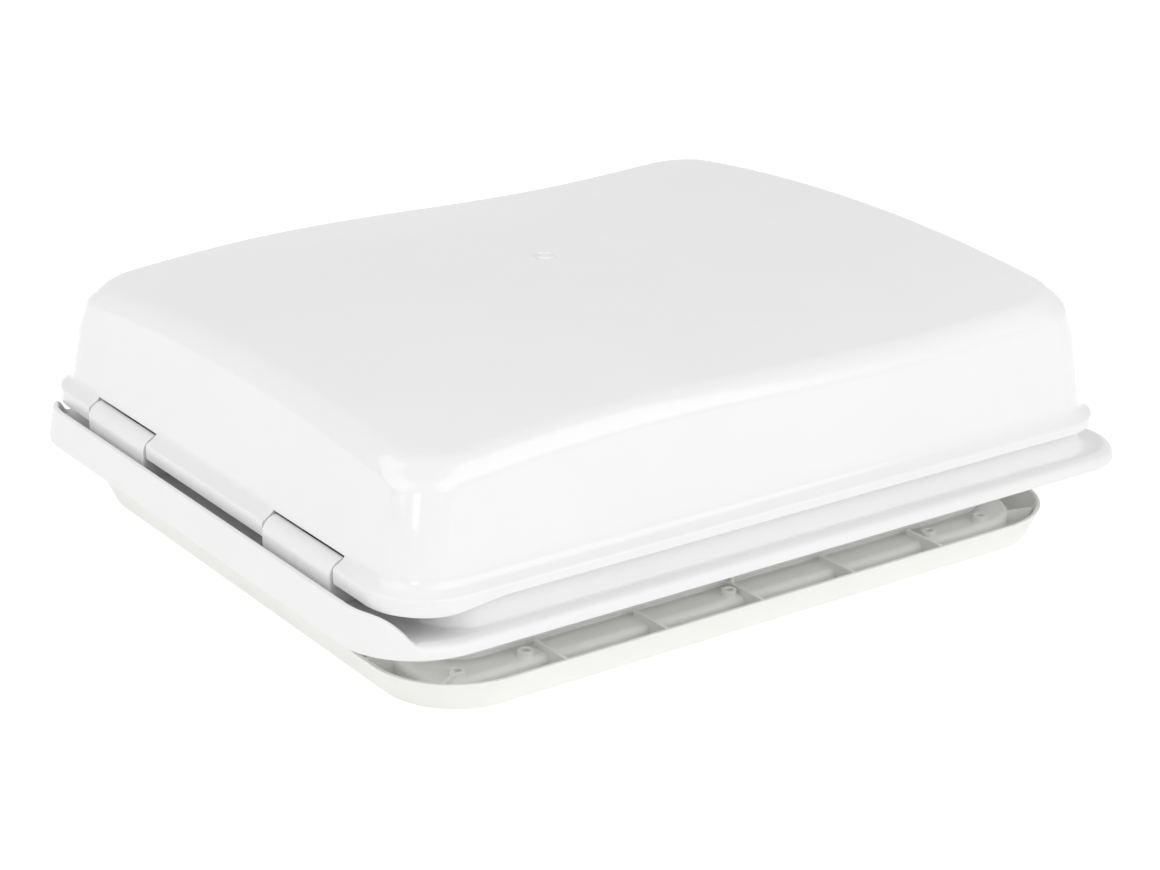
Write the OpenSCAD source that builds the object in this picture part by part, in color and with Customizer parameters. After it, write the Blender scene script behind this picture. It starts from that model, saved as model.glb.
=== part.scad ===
// Caravan roof vent: roof frame, hinged dome, ceiling trim, flynet and crank winder.
// Millimetres, +Z up. The trim's room side edge lies on Z = 0, the hinge is on the -X side.

/* [Roof] */
// Roof cut-out, from the hinge side to the opening side
cut_x = 360; // [350:1:372]
// Roof cut-out, across
cut_y = 320; // [312:1:330]
// Distance of the cut-out's middle from the flange's middle, towards the hinge
cut_shift = 5.5; // [4:0.5:7]
// Thickness of the roof that is clamped
roof_t = 23; // [21:0.5:30]

/* [Ceiling trim] */
// Overlap of the trim past the cut-out, hinge and opening sides
trim_over_x = 21.5; // [21:0.5:24]
// Overlap of the trim past the cut-out, long sides
trim_over_y = 23; // [22.5:0.5:26]
// Corner radius of the trim's room side edge
trim_r = 41; // [36:1:46]
// Height of the outer lip
lip_h = 16.4; // [15.5:0.1:18]
// How far the lip leans out over its height
lip_flare = 7.3; // [5:0.1:9]
// Wall thickness of the trim
trim_t = 2.4; // [2:0.1:2.7]
// Corner radius of the screw ledge, hinge side
ledge_r_hinge = 14; // [10:1:20]
// Corner radius of the screw ledge, opening side
ledge_r = 31; // [26:1:34]
// Width of the flat border that faces the room
border_w = 10; // [8:0.5:10.5]
// Height of the screw ledge behind the lip
ledge_h = 12.3; // [12:0.1:13]
// Height of the trim's collar inside the roof frame
collar_h = 20.5; // [18:0.5:21]
// Stiffening ribs along each long side
rib_n = 5; // [3:1:6]
// Spacing of those ribs
rib_pitch = 60; // [50:1:62]
// Thickness of a rib
rib_t = 2; // [1.5:0.1:3]
// Radius of a screw boss on the ledge
boss_r = 4; // [3.5:0.1:4.5]
// Radius of the roof screw holes
roof_screw_r = 2; // [1.6:0.1:2.4]

/* [Roof frame] */
// Gap between the spigot and the cut-out
spigot_gap = 1.5; // [1:0.1:2.5]
// Wall of the spigot and of the coaming
spigot_t = 2.5; // [2:0.1:3]
// Corner radius of the spigot
spigot_r = 22; // [18:1:28]
// Height of the flange's top above the roof
flange_h = 7.4; // [6.6:0.1:8.4]
// Thickness of the flange's top
flange_t = 3; // [2.5:0.1:3.6]
// Width of the land that seals on the roof
land_w = 12; // [10:0.5:14]
// Corner radius of the flange, opening side
flange_r = 35; // [32:1:40]
// Corner radius of the flange, hinge side
rail_r = 45; // [41:1:49]
// Rounding of the flange's upper edge
edge_r = 5; // [3:0.5:6]
// Thickness of the rail on the hinge side
rail_t = 2.6; // [2.2:0.1:3]
// Lean of that rail, in over up
rail_lean = 0.18; // [0.1:0.01:0.22]
// Height of the rail above the roof
rail_h = 19.4; // [16:0.2:20.4]
// Length over which the rail falls to the flange
swoop_len = 20.5; // [15:0.5:26]
// Height of the coaming above the roof
coaming_h = 22.6; // [21:0.2:23]

/* [Dome] */
// Overhang of the dome past the cut-out, hinge side
dome_over_hinge = 42.9; // [41:0.2:46]
// Overhang of the dome past the cut-out, opening side
dome_over_front = 49.2; // [46:0.2:52]
// Overhang of the dome past the cut-out, long sides
dome_over_side = 35.4; // [34:0.2:38]
// Corner radius of the dome's rim
dome_r = 34; // [31:1:38]
// Wall thickness of the dome
dome_t = 2.5; // [2:0.1:2.8]
// Height of the rim's lower edge above the roof
rim_up = 23; // [22.6:0.2:25]
// How far the rim dips towards the hinge
rim_dip = 3.5; // [1:0.1:4]
// Height of the rim's upright lip
rim_lip = 4.4; // [4:0.1:5]
// Height of the dome above its rim
dome_h = 81.3; // [76:0.5:90]
// Radius along the dome's upper edges
dome_edge_r = 13; // [10:0.5:16]
// Growth of the corner radius towards the dome's top
corner_soft = 16; // [6:1:20]
// Rise of the top from the hinge side to the opening side
dome_rise = 11.4; // [0:0.2:14]
// Height of the long wave in the top
dome_wave = 4.1; // [0:0.1:6]
// Crown of the top along its length
crown_x = 2.5; // [0:0.1:6]
// Crown of the top across
crown_y = 12.7; // [6:0.1:16]
// Margin of the flange past the rim, hinge side
rail_gap = 11.1; // [10.8:0.1:14]
// Margin of the flange past the rim, opening side
front_gap = 15.8; // [12:0.1:19]
// Margin of the flange past the rim, long sides
side_gap = 3.6; // [3.2:0.1:6]

/* [Hinges] */
// Distance of each hinge from the middle
hinge_y = 98; // [85:1:110]
// Width of a hinge cover
cover_w = 66; // [58:1:74]
// Hinge axis behind the rim's edge
hinge_in = 7.4; // [7:0.1:8]
// Hinge axis below the rim's lower edge
hinge_drop = 0.4; // [0:0.1:0.8]
// Radius of a hinge pin
pin_r = 2; // [1.6:0.1:2.3]
// Outer radius of a hinge cover's roll
cover_r = 8.6; // [8.2:0.1:8.8]
// Thickness of a hinge cover
cover_t = 2; // [1.6:0.1:2.2]
// Radius of a hinge leaf's eye
eye_r = 4.6; // [4.2:0.1:5]
// Width of a hinge leaf's ear
ear_w = 6; // [5:0.5:8]
// Width of a hinge leaf's pad
leaf_w = 38; // [32:1:42]
// Opening angle of the dome
dome_open = 50; // [40:1:50]

/* [Flynet] */
// Overlap of the net frame on the ledge
net_over = 6; // [5:0.2:6.6]
// Width of the net frame's bars
net_bar = 11; // [10:0.5:14]
// Thickness of the net frame
net_t = 3; // [2.4:0.1:3.2]
// Number of net gaps from the hinge side to the opening side
net_gaps_x = 18; // [12:1:20]
// Number of net gaps across
net_gaps_y = 16; // [10:1:18]
// Width of a net strand
strand_w = 1; // [0.6:0.1:1.4]
// Thickness of the net
mesh_t = 0.6; // [0.4:0.1:1]
// Distance of each turn button from the middle
button_y = 90; // [70:1:110]
// Reach of a turn button from its screw
button_len = 17; // [14:0.5:19]
// Thickness of a turn button
button_t = 2.4; // [2:0.1:2.6]
// Radius of a turn button's round end
button_r = 4; // [3.6:0.1:4.4]
// Radius of a turn button's screw
button_screw_r = 1.6; // [1.2:0.1:1.8]

/* [Winder] */
// Distance of the crank shaft from the spigot's wall
crank_in = 69.5; // [68:0.5:76]
// Height of the arm's shaft above the roof
winder_up = 0.6; // [0:0.1:3]
// Number of teeth on the arm's gear
gear_n = 36; // [32:1:38]
// Pitch of the worm and of the gear
gear_pitch = 3.2; // [3:0.1:3.4]
// Pitch radius of the worm
worm_pr = 6; // [5.6:0.1:6.6]
// Length of the worm
worm_len = 20; // [16:1:22]
// Width of the gear
gear_w = 6; // [4:0.5:7]
// Length of the lift arm
arm_len = 160; // [150:1:165]
// Angle of the lift arm with the dome shut
arm_rest = 25; // [22:0.5:27]
// Turn of the lift arm for each degree that the dome opens
arm_ratio = 1.52; // [1.48:0.01:1.56]
// Width of the lift arm
arm_w = 12; // [10:0.5:14]
// Thickness of the lift arm
arm_t = 4; // [3:0.1:5]
// Radius of the arm's shaft
arm_shaft_r = 4; // [3.5:0.1:4.4]
// Radius of the roller in the lift track
roller_r = 4; // [3.5:0.1:5]
// Radius of the roller's pin
roller_pin_r = 1.8; // [1.4:0.1:2.1]
// Thickness of the lift track's plate
track_t = 4; // [3:0.1:5]
// Half width inside the gearbox
box_half = 9.5; // [9:0.5:11]
// Wall of the gearbox
box_t = 3; // [2.5:0.1:3.5]
// Half height of the gearbox
box_half_h = 18; // [17:0.5:19]
// Wall of a bush
bush_t = 2; // [1.5:0.1:2.2]
// Thickness of the gearbox cover
box_cover_t = 1.6; // [1.2:0.1:2]

/* [Crank] */
// Radius of the crank shaft
crank_r = 3.5; // [3:0.1:3.7]
// Reach of the crank lever
lever_len = 54; // [48:1:56]
// Width of the crank lever
lever_w = 12.4; // [12:0.2:15]
// Thickness of the crank lever
lever_t = 5; // [4:0.1:5.4]
// Height of the lever above the trim's edge
lever_up = 1; // [0.6:0.1:1.1]
// Radius of the crank's hub
hub_r = 7; // [6.5:0.1:7.6]
// Length of the folding grip
grip_len = 36; // [30:1:38]
// Radius of the grip's sleeve
grip_r = 2.9; // [2.6:0.1:3]
// Radius of the pin that the grip folds on
fold_pin_r = 1.2; // [1:0.1:1.4]

/* [Clearances] */
// Running clearance of a shaft in its bore
run_gap = 0.06; // [0.03:0.01:0.09]
// Clearance between pieces that seat on each other
seat_gap = 0.3; // [0.25:0.05:0.35]
// Clearance of the collar in the spigot
slide_gap = 0.5; // [0.3:0.1:0.8]
// Clearance between moving pieces
move_gap = 1.5; // [1.2:0.1:2]

/* [Hidden] */
$fn = 48;

// Colours of the finished pieces
white = "#f4f4f4";
warm_white = "#f2f1ec";
grey = "#9a9c9e";
dark = "#3a3c3e";
steel = "#c2c5c8";

// Heights
flange_z = lip_h + roof_t;
floor_z = flange_z + flange_h;
rim_z = flange_z + rim_up;
top_z = rim_z + dome_h;

// Plan of the trim, spigot, dome and flange
trim_x = cut_x + 2 * trim_over_x;
trim_y = cut_y + 2 * trim_over_y;
spigot_x = cut_x - 2 * spigot_gap;
spigot_y = cut_y - 2 * spigot_gap;
cut_c = -cut_shift;
dome_x0 = cut_c - cut_x / 2 - dome_over_hinge;
dome_x1 = cut_c + cut_x / 2 + dome_over_front;
dome_hx = (dome_x1 - dome_x0) / 2;
dome_cx = (dome_x1 + dome_x0) / 2;
dome_hy = cut_y / 2 + dome_over_side;
flange_x0 = dome_x0 - rail_gap;
flange_x1 = dome_x1 + front_gap;
flange_y = 2 * (dome_hy + side_gap);
spigot_lift = 2.7;

// Hinge axis
hinge_x = dome_x0 + hinge_in;
hinge_z = rim_z - hinge_drop;
notch_top = hinge_z + cover_r + 2 * move_gap;
notch_w = cover_w + 2 * move_gap;
cover_end = 2.5;
leaf_reach = 14;
leaf_root = cover_r + move_gap - 0.3;

// Coaming, clear of the hinge leaves and under the dome's shoulder
coaming_in = 7;
coaming_x0 = hinge_x + leaf_reach + 2;
coaming_x1 = dome_x1 - coaming_in;
coaming_y = 2 * (dome_hy - coaming_in);
coaming_r = dome_r - coaming_in;
seal_w = spigot_t + 1;
seal_h = rim_z + rim_lip + 2.5 - flange_z - coaming_h;

// Trim behind the lip
collar_x = spigot_x - 2 * spigot_t - 2 * slide_gap;
collar_y = spigot_y - 2 * spigot_t - 2 * slide_gap;
collar_r = spigot_r - spigot_t;
riser_x = trim_x / 2 - border_w;
riser_y = trim_y / 2 - border_w;
ledge_low = ledge_h - trim_t;
ledge_round = 4;
ledge_in = 1.4;
border_in = 1.5;
boss_top = lip_h - 0.8;
rib_shift = cut_x * 0.0195;
end_rib_y = cut_y * 0.41;
boss_y = (riser_y + spigot_y / 2) / 2 + 1;
boss_x = [-0.49, -0.382, -0.037, 0.338, 0.44] * cut_x;

// Winder
wall_x = cut_c - spigot_x / 2 + spigot_t;
crank_x = wall_x + crank_in;
gear_pr = gear_n * gear_pitch / (2 * PI);
arm_x = crank_x - gear_pr - worm_pr;
arm_z = flange_z + winder_up;
tooth_out = 1;
tooth_in = 1.2;
tooth_half = gear_pitch * 0.17;
tooth_flare = 0.22;
arm_y = box_half + box_t + seat_gap + 0.7;
track_y = arm_y - 2 - track_t;
roller_x = arm_x + arm_len * cos(arm_rest);
roller_z = arm_z + arm_len * sin(arm_rest);
slot_gap = 0.35;
box_x1 = crank_x + arm_shaft_r + bush_t + 8;
back_half = box_half + box_t + 12;
screw_y = back_half - 6;
screw_z = [arm_z - 17, arm_z - 7];
screw_r = 1.7;
screw_head_r = 3.2;

// Flynet and crank
net_x = collar_x - 2 * trim_t + 2 * net_over;
net_y = collar_y - 2 * trim_t + 2 * net_over;
net_top = ledge_low - 0.1;
net_low = net_top - net_t;
ring_r = hub_r + 2;
ring_w = 4;
button_x = (net_x / 2 + riser_x - trim_t) / 2;
button_top = net_low - seat_gap;
lever_mid = lever_up + lever_t / 2;
fold_x = crank_x + lever_len - 2.5;
stem_r = 1.6;
hub_up = 8;
slot_w = 2 * grip_r + 1;

// Rounded rectangle from a corner to the corner across
module plan(x0, x1, y, r) {
  translate([x0 + r, -y / 2]) square([x1 - x0 - 2 * r, y]);
  translate([x0, r - y / 2]) square([x1 - x0, y - 2 * r]);
  for (x = [x0 + r, x1 - r], s = [-1, 1]) translate([x, s * (y / 2 - r)]) circle(r);
}

// Upright wall along a rounded rectangle
module wall(x0, x1, y, r, t, z0, z1) {
  translate([0, 0, z0]) linear_extrude(z1 - z0) difference() {
    plan(x0, x1, y, r);
    plan(x0 + t, x1 - t, y - 2 * t, r - t);
  }
}

// Carries a profile round a rounded rectangle; the profile's x runs out from the corner's centre
module carry_round(x0, x1, y, r) {
  cx = (x0 + x1) / 2;
  lx = x1 - x0 - 2 * r;
  ly = y - 2 * r;
  for (q = [0:3]) {
    sx = (q == 0 || q == 3) ? 1 : -1;
    sy = q < 2 ? 1 : -1;
    side = q % 2 == 0 ? ly : lx;
    translate([cx + sx * lx / 2, sy * ly / 2]) rotate(90 * q) {
      rotate_extrude(angle = 90) children();
      rotate([90, 0, 0]) linear_extrude(side) children();
    }
  }
}

// Rounded rectangle with one radius at the hinge side and one at the opening side
module plan_two(x0, x1, y, r0, r1) {
  translate([x0 + r0, -y / 2]) square([x1 - x0 - r0 - r1, y]);
  translate([x0, r0 - y / 2]) square([r0 + 1, y - 2 * r0]);
  translate([x1 - r1 - 1, r1 - y / 2]) square([r1 + 1, y - 2 * r1]);
  for (s = [-1, 1]) {
    translate([x0 + r0, s * (y / 2 - r0)]) circle(r0);
    translate([x1 - r1, s * (y / 2 - r1)]) circle(r1);
  }
}

// Carries a profile round such a plan; the profile's x runs out from the plan's edge
module carry_two(x0, x1, y, r0, r1) {
  for (q = [0:3]) {
    front = q == 0 || q == 3;
    r = front ? r1 : r0;
    translate([front ? x1 - r : x0 + r, (q < 2 ? 1 : -1) * (y / 2 - r)]) rotate(90 * q) {
      rotate_extrude(angle = 90) translate([r, 0]) children();
      rotate([90, 0, 0]) linear_extrude(q % 2 == 0 ? y - 2 * r : x1 - x0 - r0 - r1)
        translate([r, 0]) children();
    }
  }
}

// Plate in the XZ plane, from y0 to y1
module upright(y0, y1) {
  translate([0, y1, 0]) rotate([90, 0, 0]) linear_extrude(y1 - y0) children();
}

// Rod along Y, from y0 to y1
module rod_y(x, z, r, y0, y1) {
  translate([x, y1, z]) rotate([90, 0, 0]) cylinder(r = r, h = y1 - y0);
}

// Where the dome's top ends, in from the rim: hinge side, and the other sides
top_in_hinge = 15;
top_in = 16.5;

// Height of the dome's top, with a wave along X and a crown across
function dome_top(x, y) =
  let (u = (x - dome_x0 - top_in_hinge) / (dome_x1 - dome_x0 - top_in_hinge - top_in),
    v = y / (dome_hy - top_in))
  top_z + dome_rise * (u - 0.5) - dome_wave * sin(360 * (u - 0.5)) - crown_x * pow(2 * u - 1, 2)
  - crown_y * v * v;

// Lower edge of the rim, which dips towards the hinge
function ease(t) = let (c = max(0, min(1, t))) c * c * (3 - 2 * c);
function rim_low(x) = rim_z - rim_dip * ease((dome_x0 + 60 - x) / 40);

// One ring of the dome's plan, set in by a distance; t is the wall between it and the outer face
arc_n = 7;
side_n = 9;
ring_n = 4 * (arc_n + side_n);
soft_from = 12.9;
soft_len = 5.1;
function corner_r(inset) = dome_r + corner_soft * max(0, min(1, (inset - soft_from) / soft_len));
function corner(q, i, inset, t) =
  let (a = 90 * q + 90 * i / arc_n, sx = (q == 0 || q == 3) ? 1 : -1, sy = q < 2 ? 1 : -1,
    r = corner_r(inset - t))
  [dome_cx + sx * (dome_hx - r) + (r - inset) * cos(a), sy * (dome_hy - r) + (r - inset) * sin(a)];
function ring(inset, t) = [for (q = [0:3]) each concat(
  [for (i = [0:arc_n]) corner(q, i, inset, t)],
  [for (i = [1:side_n - 1])
    let (a = corner(q, arc_n, inset, t), b = corner((q + 1) % 4, 0, inset, t)) a + (b - a) * i / side_n])];

// A dome row: inset, fixed height (none on the rim's edge), share of the top's height, drop below the top
function row(s, t) = [for (p = ring(s[0], t))
  let (low = is_undef(s[1]) ? rim_low(p.x) : s[1])
  [p.x, p.y, (1 - s[2]) * low + s[2] * (dome_top(p.x, p.y) - s[3])]];
function shrunk(inset, k, drop) = [for (p = ring(inset, drop))
  let (x = dome_cx + (p.x - dome_cx) * k, y = p.y * k) [x, y, dome_top(x, y) - drop]];

lip_z = rim_z + rim_lip;
wall_in = 8.2;
wall_base = lip_z + 12;
edge_in = 14.5;
flat_in = edge_in + dome_edge_r;
inner_r = dome_edge_r - dome_t;
shrinks = [0.8, 0.6, 0.4, 0.2];
outer_rows = concat(
  [for (s = [[0, undef, 0, 0], [0, lip_z, 0, 0], [0.8, lip_z + 1, 0, 0], [3.6, lip_z + 2.6, 0, 0],
    [6.2, lip_z + 4.5, 0, 0], [7.6, lip_z + 7.8, 0, 0], [wall_in, wall_base, 0, 0],
    [(wall_in + edge_in) / 2, wall_base, 0.5, dome_edge_r]]) row(s, 0)],
  [for (a = [0:18:90])
    row([flat_in - dome_edge_r * cos(a), 0, 1, dome_edge_r * (1 - sin(a))], 0)],
  [for (k = shrinks) shrunk(flat_in, k, 0)]);
inner_rows = concat(
  [for (s = [[dome_t, undef, 0, 0], [dome_t, lip_z - 1.2, 0, 0], [dome_t + 2.1, lip_z + 0.6, 0, 0],
    [dome_t + 5.3, lip_z + 3, 0, 0], [wall_in + dome_t, wall_base, 0, 0],
    [(wall_in + edge_in) / 2 + dome_t, wall_base, 0.5, dome_edge_r]]) row(s, dome_t)],
  [for (a = [0:22.5:90])
    row([flat_in - inner_r * cos(a), 0, 1, dome_t + inner_r * (1 - sin(a))], dome_t)],
  [for (k = shrinks) shrunk(flat_in, k, dome_t)]);

// Faces between rows, to a closing point at the top; flip turns them inwards
function skin(first, rows, tip, flip) = [for (j = [0:rows - 1], i = [0:ring_n - 1])
  let (a = first + j * ring_n + i, b = first + j * ring_n + (i + 1) % ring_n,
    up = j < rows - 1, c = up ? a + ring_n : tip, d = up ? b + ring_n : tip)
  each (flip
    ? concat([[a, b, c]], up ? [[b, d, c]] : [])
    : concat([[a, c, b]], up ? [[b, c, d]] : []))];

// Inner face of the dome's hinge side wall at a height
function dome_wall_x(z) =
  let (z1 = dome_top(dome_x0 + edge_in, hinge_y) - dome_edge_r, t = (z - wall_base) / (z1 - wall_base))
  dome_x0 + dome_t + wall_in + (edge_in - wall_in) * t;

// Place of the roller in the dome's own frame when the dome is open by an angle
function slot_at(a) =
  let (b = arm_rest + arm_ratio * a, x = arm_x + arm_len * cos(b) - hinge_x,
    z = arm_z + arm_len * sin(b) - hinge_z)
  [hinge_x + x * cos(a) + z * sin(a), hinge_z - x * sin(a) + z * cos(a)];
slot_steps = 10;
track_end = 14;
slot_path = [for (i = [0:slot_steps]) slot_at(dome_open * i / slot_steps)];
slot_r = roller_r + slot_gap;
function slot_edge(i, turn) =
  let (d = slot_path[min(slot_steps, i + 1)] - slot_path[max(0, i - 1)], a = atan2(d.y, d.x) + turn)
  slot_path[i] + slot_r * [cos(a), sin(a)];

// Height of the rail's top along X, falling from the hinge side into the flange's rounded edge
edge_low = flange_h - edge_r;
swoop_x = flange_x0 + 2;
function rail_top(x) =
  let (u = max(0, min(1, (x - swoop_x) / swoop_len))) edge_low + (rail_h - edge_low) * (1 - u * u);

module roof_frame() {
  color(white) difference() {
    union() {
      translate([0, 0, floor_z - flange_t]) linear_extrude(flange_t) difference() {
        plan_two(flange_x0 + edge_r + 1, flange_x1 - edge_r - 1, flange_y - 2 * edge_r - 2,
          rail_r - edge_r - 1, flange_r - edge_r - 1);
        translate([cut_c, 0]) plan(-spigot_x / 2 + 1, spigot_x / 2 - 1, spigot_y - 2, spigot_r - 1);
      }
      translate([0, 0, flange_z]) carry_two(flange_x0, flange_x1, flange_y, rail_r, flange_r)
        polygon(concat([[-land_w, 0], [0, 0]],
          [for (t = [0:15:90]) [edge_r * (cos(t) - 1), edge_low + edge_r * sin(t)]], [[-land_w, flange_h]]));
      intersection() {
        translate([0, 0, flange_z]) carry_two(flange_x0, flange_x1, flange_y, rail_r, flange_r) polygon([
          [0, 0], [-rail_lean * rail_h, rail_h], [-rail_lean * rail_h - rail_t, rail_h], [-rail_t, 0]]);
        upright(-flange_y, flange_y) translate([0, flange_z]) polygon(concat(
          [[swoop_x + swoop_len, 0], [flange_x0 - 1, 0], [flange_x0 - 1, rail_h]],
          [for (i = [0:12]) let (x = swoop_x + swoop_len * i / 12) [x, rail_top(x)]]));
      }
      translate([cut_c, 0, 0])
        wall(-spigot_x / 2, spigot_x / 2, spigot_y, spigot_r, spigot_t, ledge_h + spigot_lift, floor_z);
      wall(coaming_x0, coaming_x1, coaming_y, coaming_r, spigot_t, floor_z - 1, flange_z + coaming_h);
    }
    for (s = [-1, 1], z = screw_z) translate([wall_x - spigot_t - 1, s * screw_y, z])
      rotate([0, 90, 0]) cylinder(r = screw_r, h = spigot_t + 2);
  }
}

module dome_seal() {
  color(dark) translate([0, 0, flange_z + coaming_h])
    carry_round(coaming_x0 - 0.5, coaming_x1 + 0.5, coaming_y + 1, coaming_r + 0.5) {
      translate([coaming_r + 0.5 - seal_w, 0]) square([seal_w, seal_h - seal_w / 2]);
      translate([coaming_r + 0.5 - seal_w / 2, seal_h - seal_w / 2]) circle(seal_w / 2);
    }
}

// Rib between the lip and the ledge, standing across the long side
module trim_rib(x, s) {
  y_lip = trim_y / 2 + lip_flare - trim_t;
  translate([x - rib_t / 2, 0, 0]) mirror([0, s < 0 ? 1 : 0, 0]) rotate([90, 0, 90])
    linear_extrude(rib_t) polygon([[riser_y - 1, trim_t - 0.5], [trim_y / 2 - 1, trim_t - 0.5],
      [y_lip + 0.8, lip_h - 0.4], [y_lip - 6, lip_h - 0.4], [spigot_y / 2 + 1, boss_top],
      [spigot_y / 2 + 1, ledge_h - 1], [riser_y - 1, ledge_h - 1]]);
}

// Rib between the lip and the ledge on the hinge side
module trim_end_rib(y) {
  x_lip = trim_x / 2 + lip_flare - trim_t;
  upright(y - rib_t / 2, y + rib_t / 2)
    polygon([[-riser_x + 1, trim_t - 0.5], [-trim_x / 2 + 1, trim_t - 0.5], [-x_lip - 0.8, lip_h - 0.4],
      [-x_lip + 5, lip_h - 0.4], [-riser_x + 1, ledge_h - 1]]);
}

// Web from the ledge's corner to the lip's corner, opening side
module trim_web(s) {
  web_in = ledge_r - 1;
  web_out = trim_r + lip_flare - trim_t;
  translate([riser_x - ledge_r, s * (riser_y - ledge_r), 0]) rotate(s * 45) rotate([90, 0, 0])
    translate([0, 0, -rib_t / 2]) linear_extrude(rib_t) polygon([[web_in, trim_t - 0.5],
      [web_out - lip_flare + 1, trim_t - 0.5], [web_out - 1.4, lip_h - 2], [web_in, ledge_h - 1]]);
}

module ceiling_trim() {
  color(warm_white) translate([cut_c, 0, 0]) difference() {
    union() {
      carry_round(-trim_x / 2, trim_x / 2, trim_y, trim_r)
        polygon([[trim_r, 0], [trim_r + lip_flare, lip_h], [trim_r + lip_flare - trim_t, lip_h],
          [trim_r - trim_t + 1, trim_t], [trim_r - trim_t - 1, trim_t], [trim_r - trim_t - 1, 0]]);
      linear_extrude(trim_t) difference() {
        plan(-trim_x / 2 + border_in, trim_x / 2 - border_in, trim_y - 2 * border_in, trim_r - border_in);
        plan_two(-riser_x + trim_t, riser_x - trim_t, 2 * (riser_y - trim_t), ledge_r_hinge - trim_t,
          ledge_r - trim_t);
      }
      carry_two(-riser_x, riser_x, 2 * riser_y, ledge_r_hinge, ledge_r) {
        translate([-trim_t, 0]) square([trim_t, ledge_h - ledge_round]);
        intersection() {
          translate([-ledge_round, ledge_h - ledge_round]) circle(ledge_round);
          translate([-trim_t, ledge_h - ledge_round]) square([trim_t, ledge_round]);
        }
      }
      translate([0, 0, ledge_low]) linear_extrude(trim_t) difference() {
        plan_two(-riser_x + ledge_in, riser_x - ledge_in, 2 * (riser_y - ledge_in), ledge_r_hinge - ledge_in,
          ledge_r - ledge_in);
        plan(-collar_x / 2 + trim_t, collar_x / 2 - trim_t, collar_y - 2 * trim_t, collar_r - trim_t);
      }
      wall(-collar_x / 2, collar_x / 2, collar_y, collar_r, trim_t, ledge_low, collar_h);
      for (i = [0:rib_n - 1], s = [-1, 1]) trim_rib((i - (rib_n - 1) / 2) * rib_pitch - rib_shift, s);
      for (s = [-1, 1]) {
        trim_end_rib(s * end_rib_y);
        trim_web(s);
      }
      for (x = boss_x, s = [-1, 1]) translate([x, s * boss_y, ledge_low])
        cylinder(r = boss_r, h = boss_top - ledge_low);
      for (sx = [-1, 1], sy = [-1, 1]) translate([sx * button_x, sy * button_y, ledge_low])
        cylinder(r = boss_r, h = boss_top - ledge_low);
    }
    for (x = boss_x, s = [-1, 1]) translate([x, s * boss_y, -1]) cylinder(r = roof_screw_r, h = lip_h + 2);
    for (sx = [-1, 1], sy = [-1, 1]) translate([sx * button_x, sy * button_y, ledge_low - 1])
      cylinder(r = button_screw_r + run_gap, h = lip_h);
  }
}

// Cover of one hinge: a roll round the pin, a skirt down to the flange and two end plates
module hinge_cover(y) {
  color(white) difference() {
    union() {
      upright(y - cover_w / 2, y + cover_w / 2) translate([hinge_x, hinge_z]) {
        intersection() {
          difference() {
            circle(cover_r);
            circle(cover_r - cover_t);
          }
          translate([-cover_r - 1, 0]) square(cover_r + 1);
        }
        translate([-cover_r, floor_z - hinge_z]) square([cover_t, hinge_z - floor_z]);
      }
      for (e = [y - cover_w / 2, y + cover_w / 2 - cover_end]) upright(e, e + cover_end)
        translate([hinge_x, hinge_z]) {
          intersection() {
            circle(cover_r);
            translate([-cover_r - 1, 0]) square(cover_r + 1);
          }
          translate([-cover_r, floor_z - hinge_z]) square([cover_r + pin_r + 3, hinge_z - floor_z]);
          circle(pin_r + 3);
        }
    }
    rod_y(hinge_x, hinge_z, pin_r + run_gap / 2, y - cover_w, y + cover_w);
  }
}
module hinge_cover_near() { hinge_cover(-hinge_y); }
module hinge_cover_far() { hinge_cover(hinge_y); }

module hinge_pins() {
  color(steel) for (s = [-1, 1])
    rod_y(hinge_x, hinge_z, pin_r, s * hinge_y - cover_w / 2 + 0.2, s * hinge_y + cover_w / 2 - 0.2);
}

module dome_shell() {
  no = len(outer_rows);
  ni = len(inner_rows);
  pts = concat([for (r = outer_rows) each r], [for (r = inner_rows) each r],
    [[dome_cx, 0, dome_top(dome_cx, 0)], [dome_cx, 0, dome_top(dome_cx, 0) - dome_t]]);
  first_in = no * ring_n;
  tip = (no + ni) * ring_n;
  rim = [for (i = [0:ring_n - 1]) let (j = (i + 1) % ring_n)
    each [[i, j, first_in + i], [j, first_in + j, first_in + i]]];
  color(white) difference() {
    polyhedron(points = pts,
      faces = concat(skin(0, no, tip, false), skin(first_in, ni, tip + 1, true), rim));
    for (s = [-1, 1]) translate([dome_x0 - 5, s * hinge_y - notch_w / 2, rim_z - 20])
      cube([leaf_reach + 8, notch_w, notch_top - rim_z + 20]);
  }
}

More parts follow.
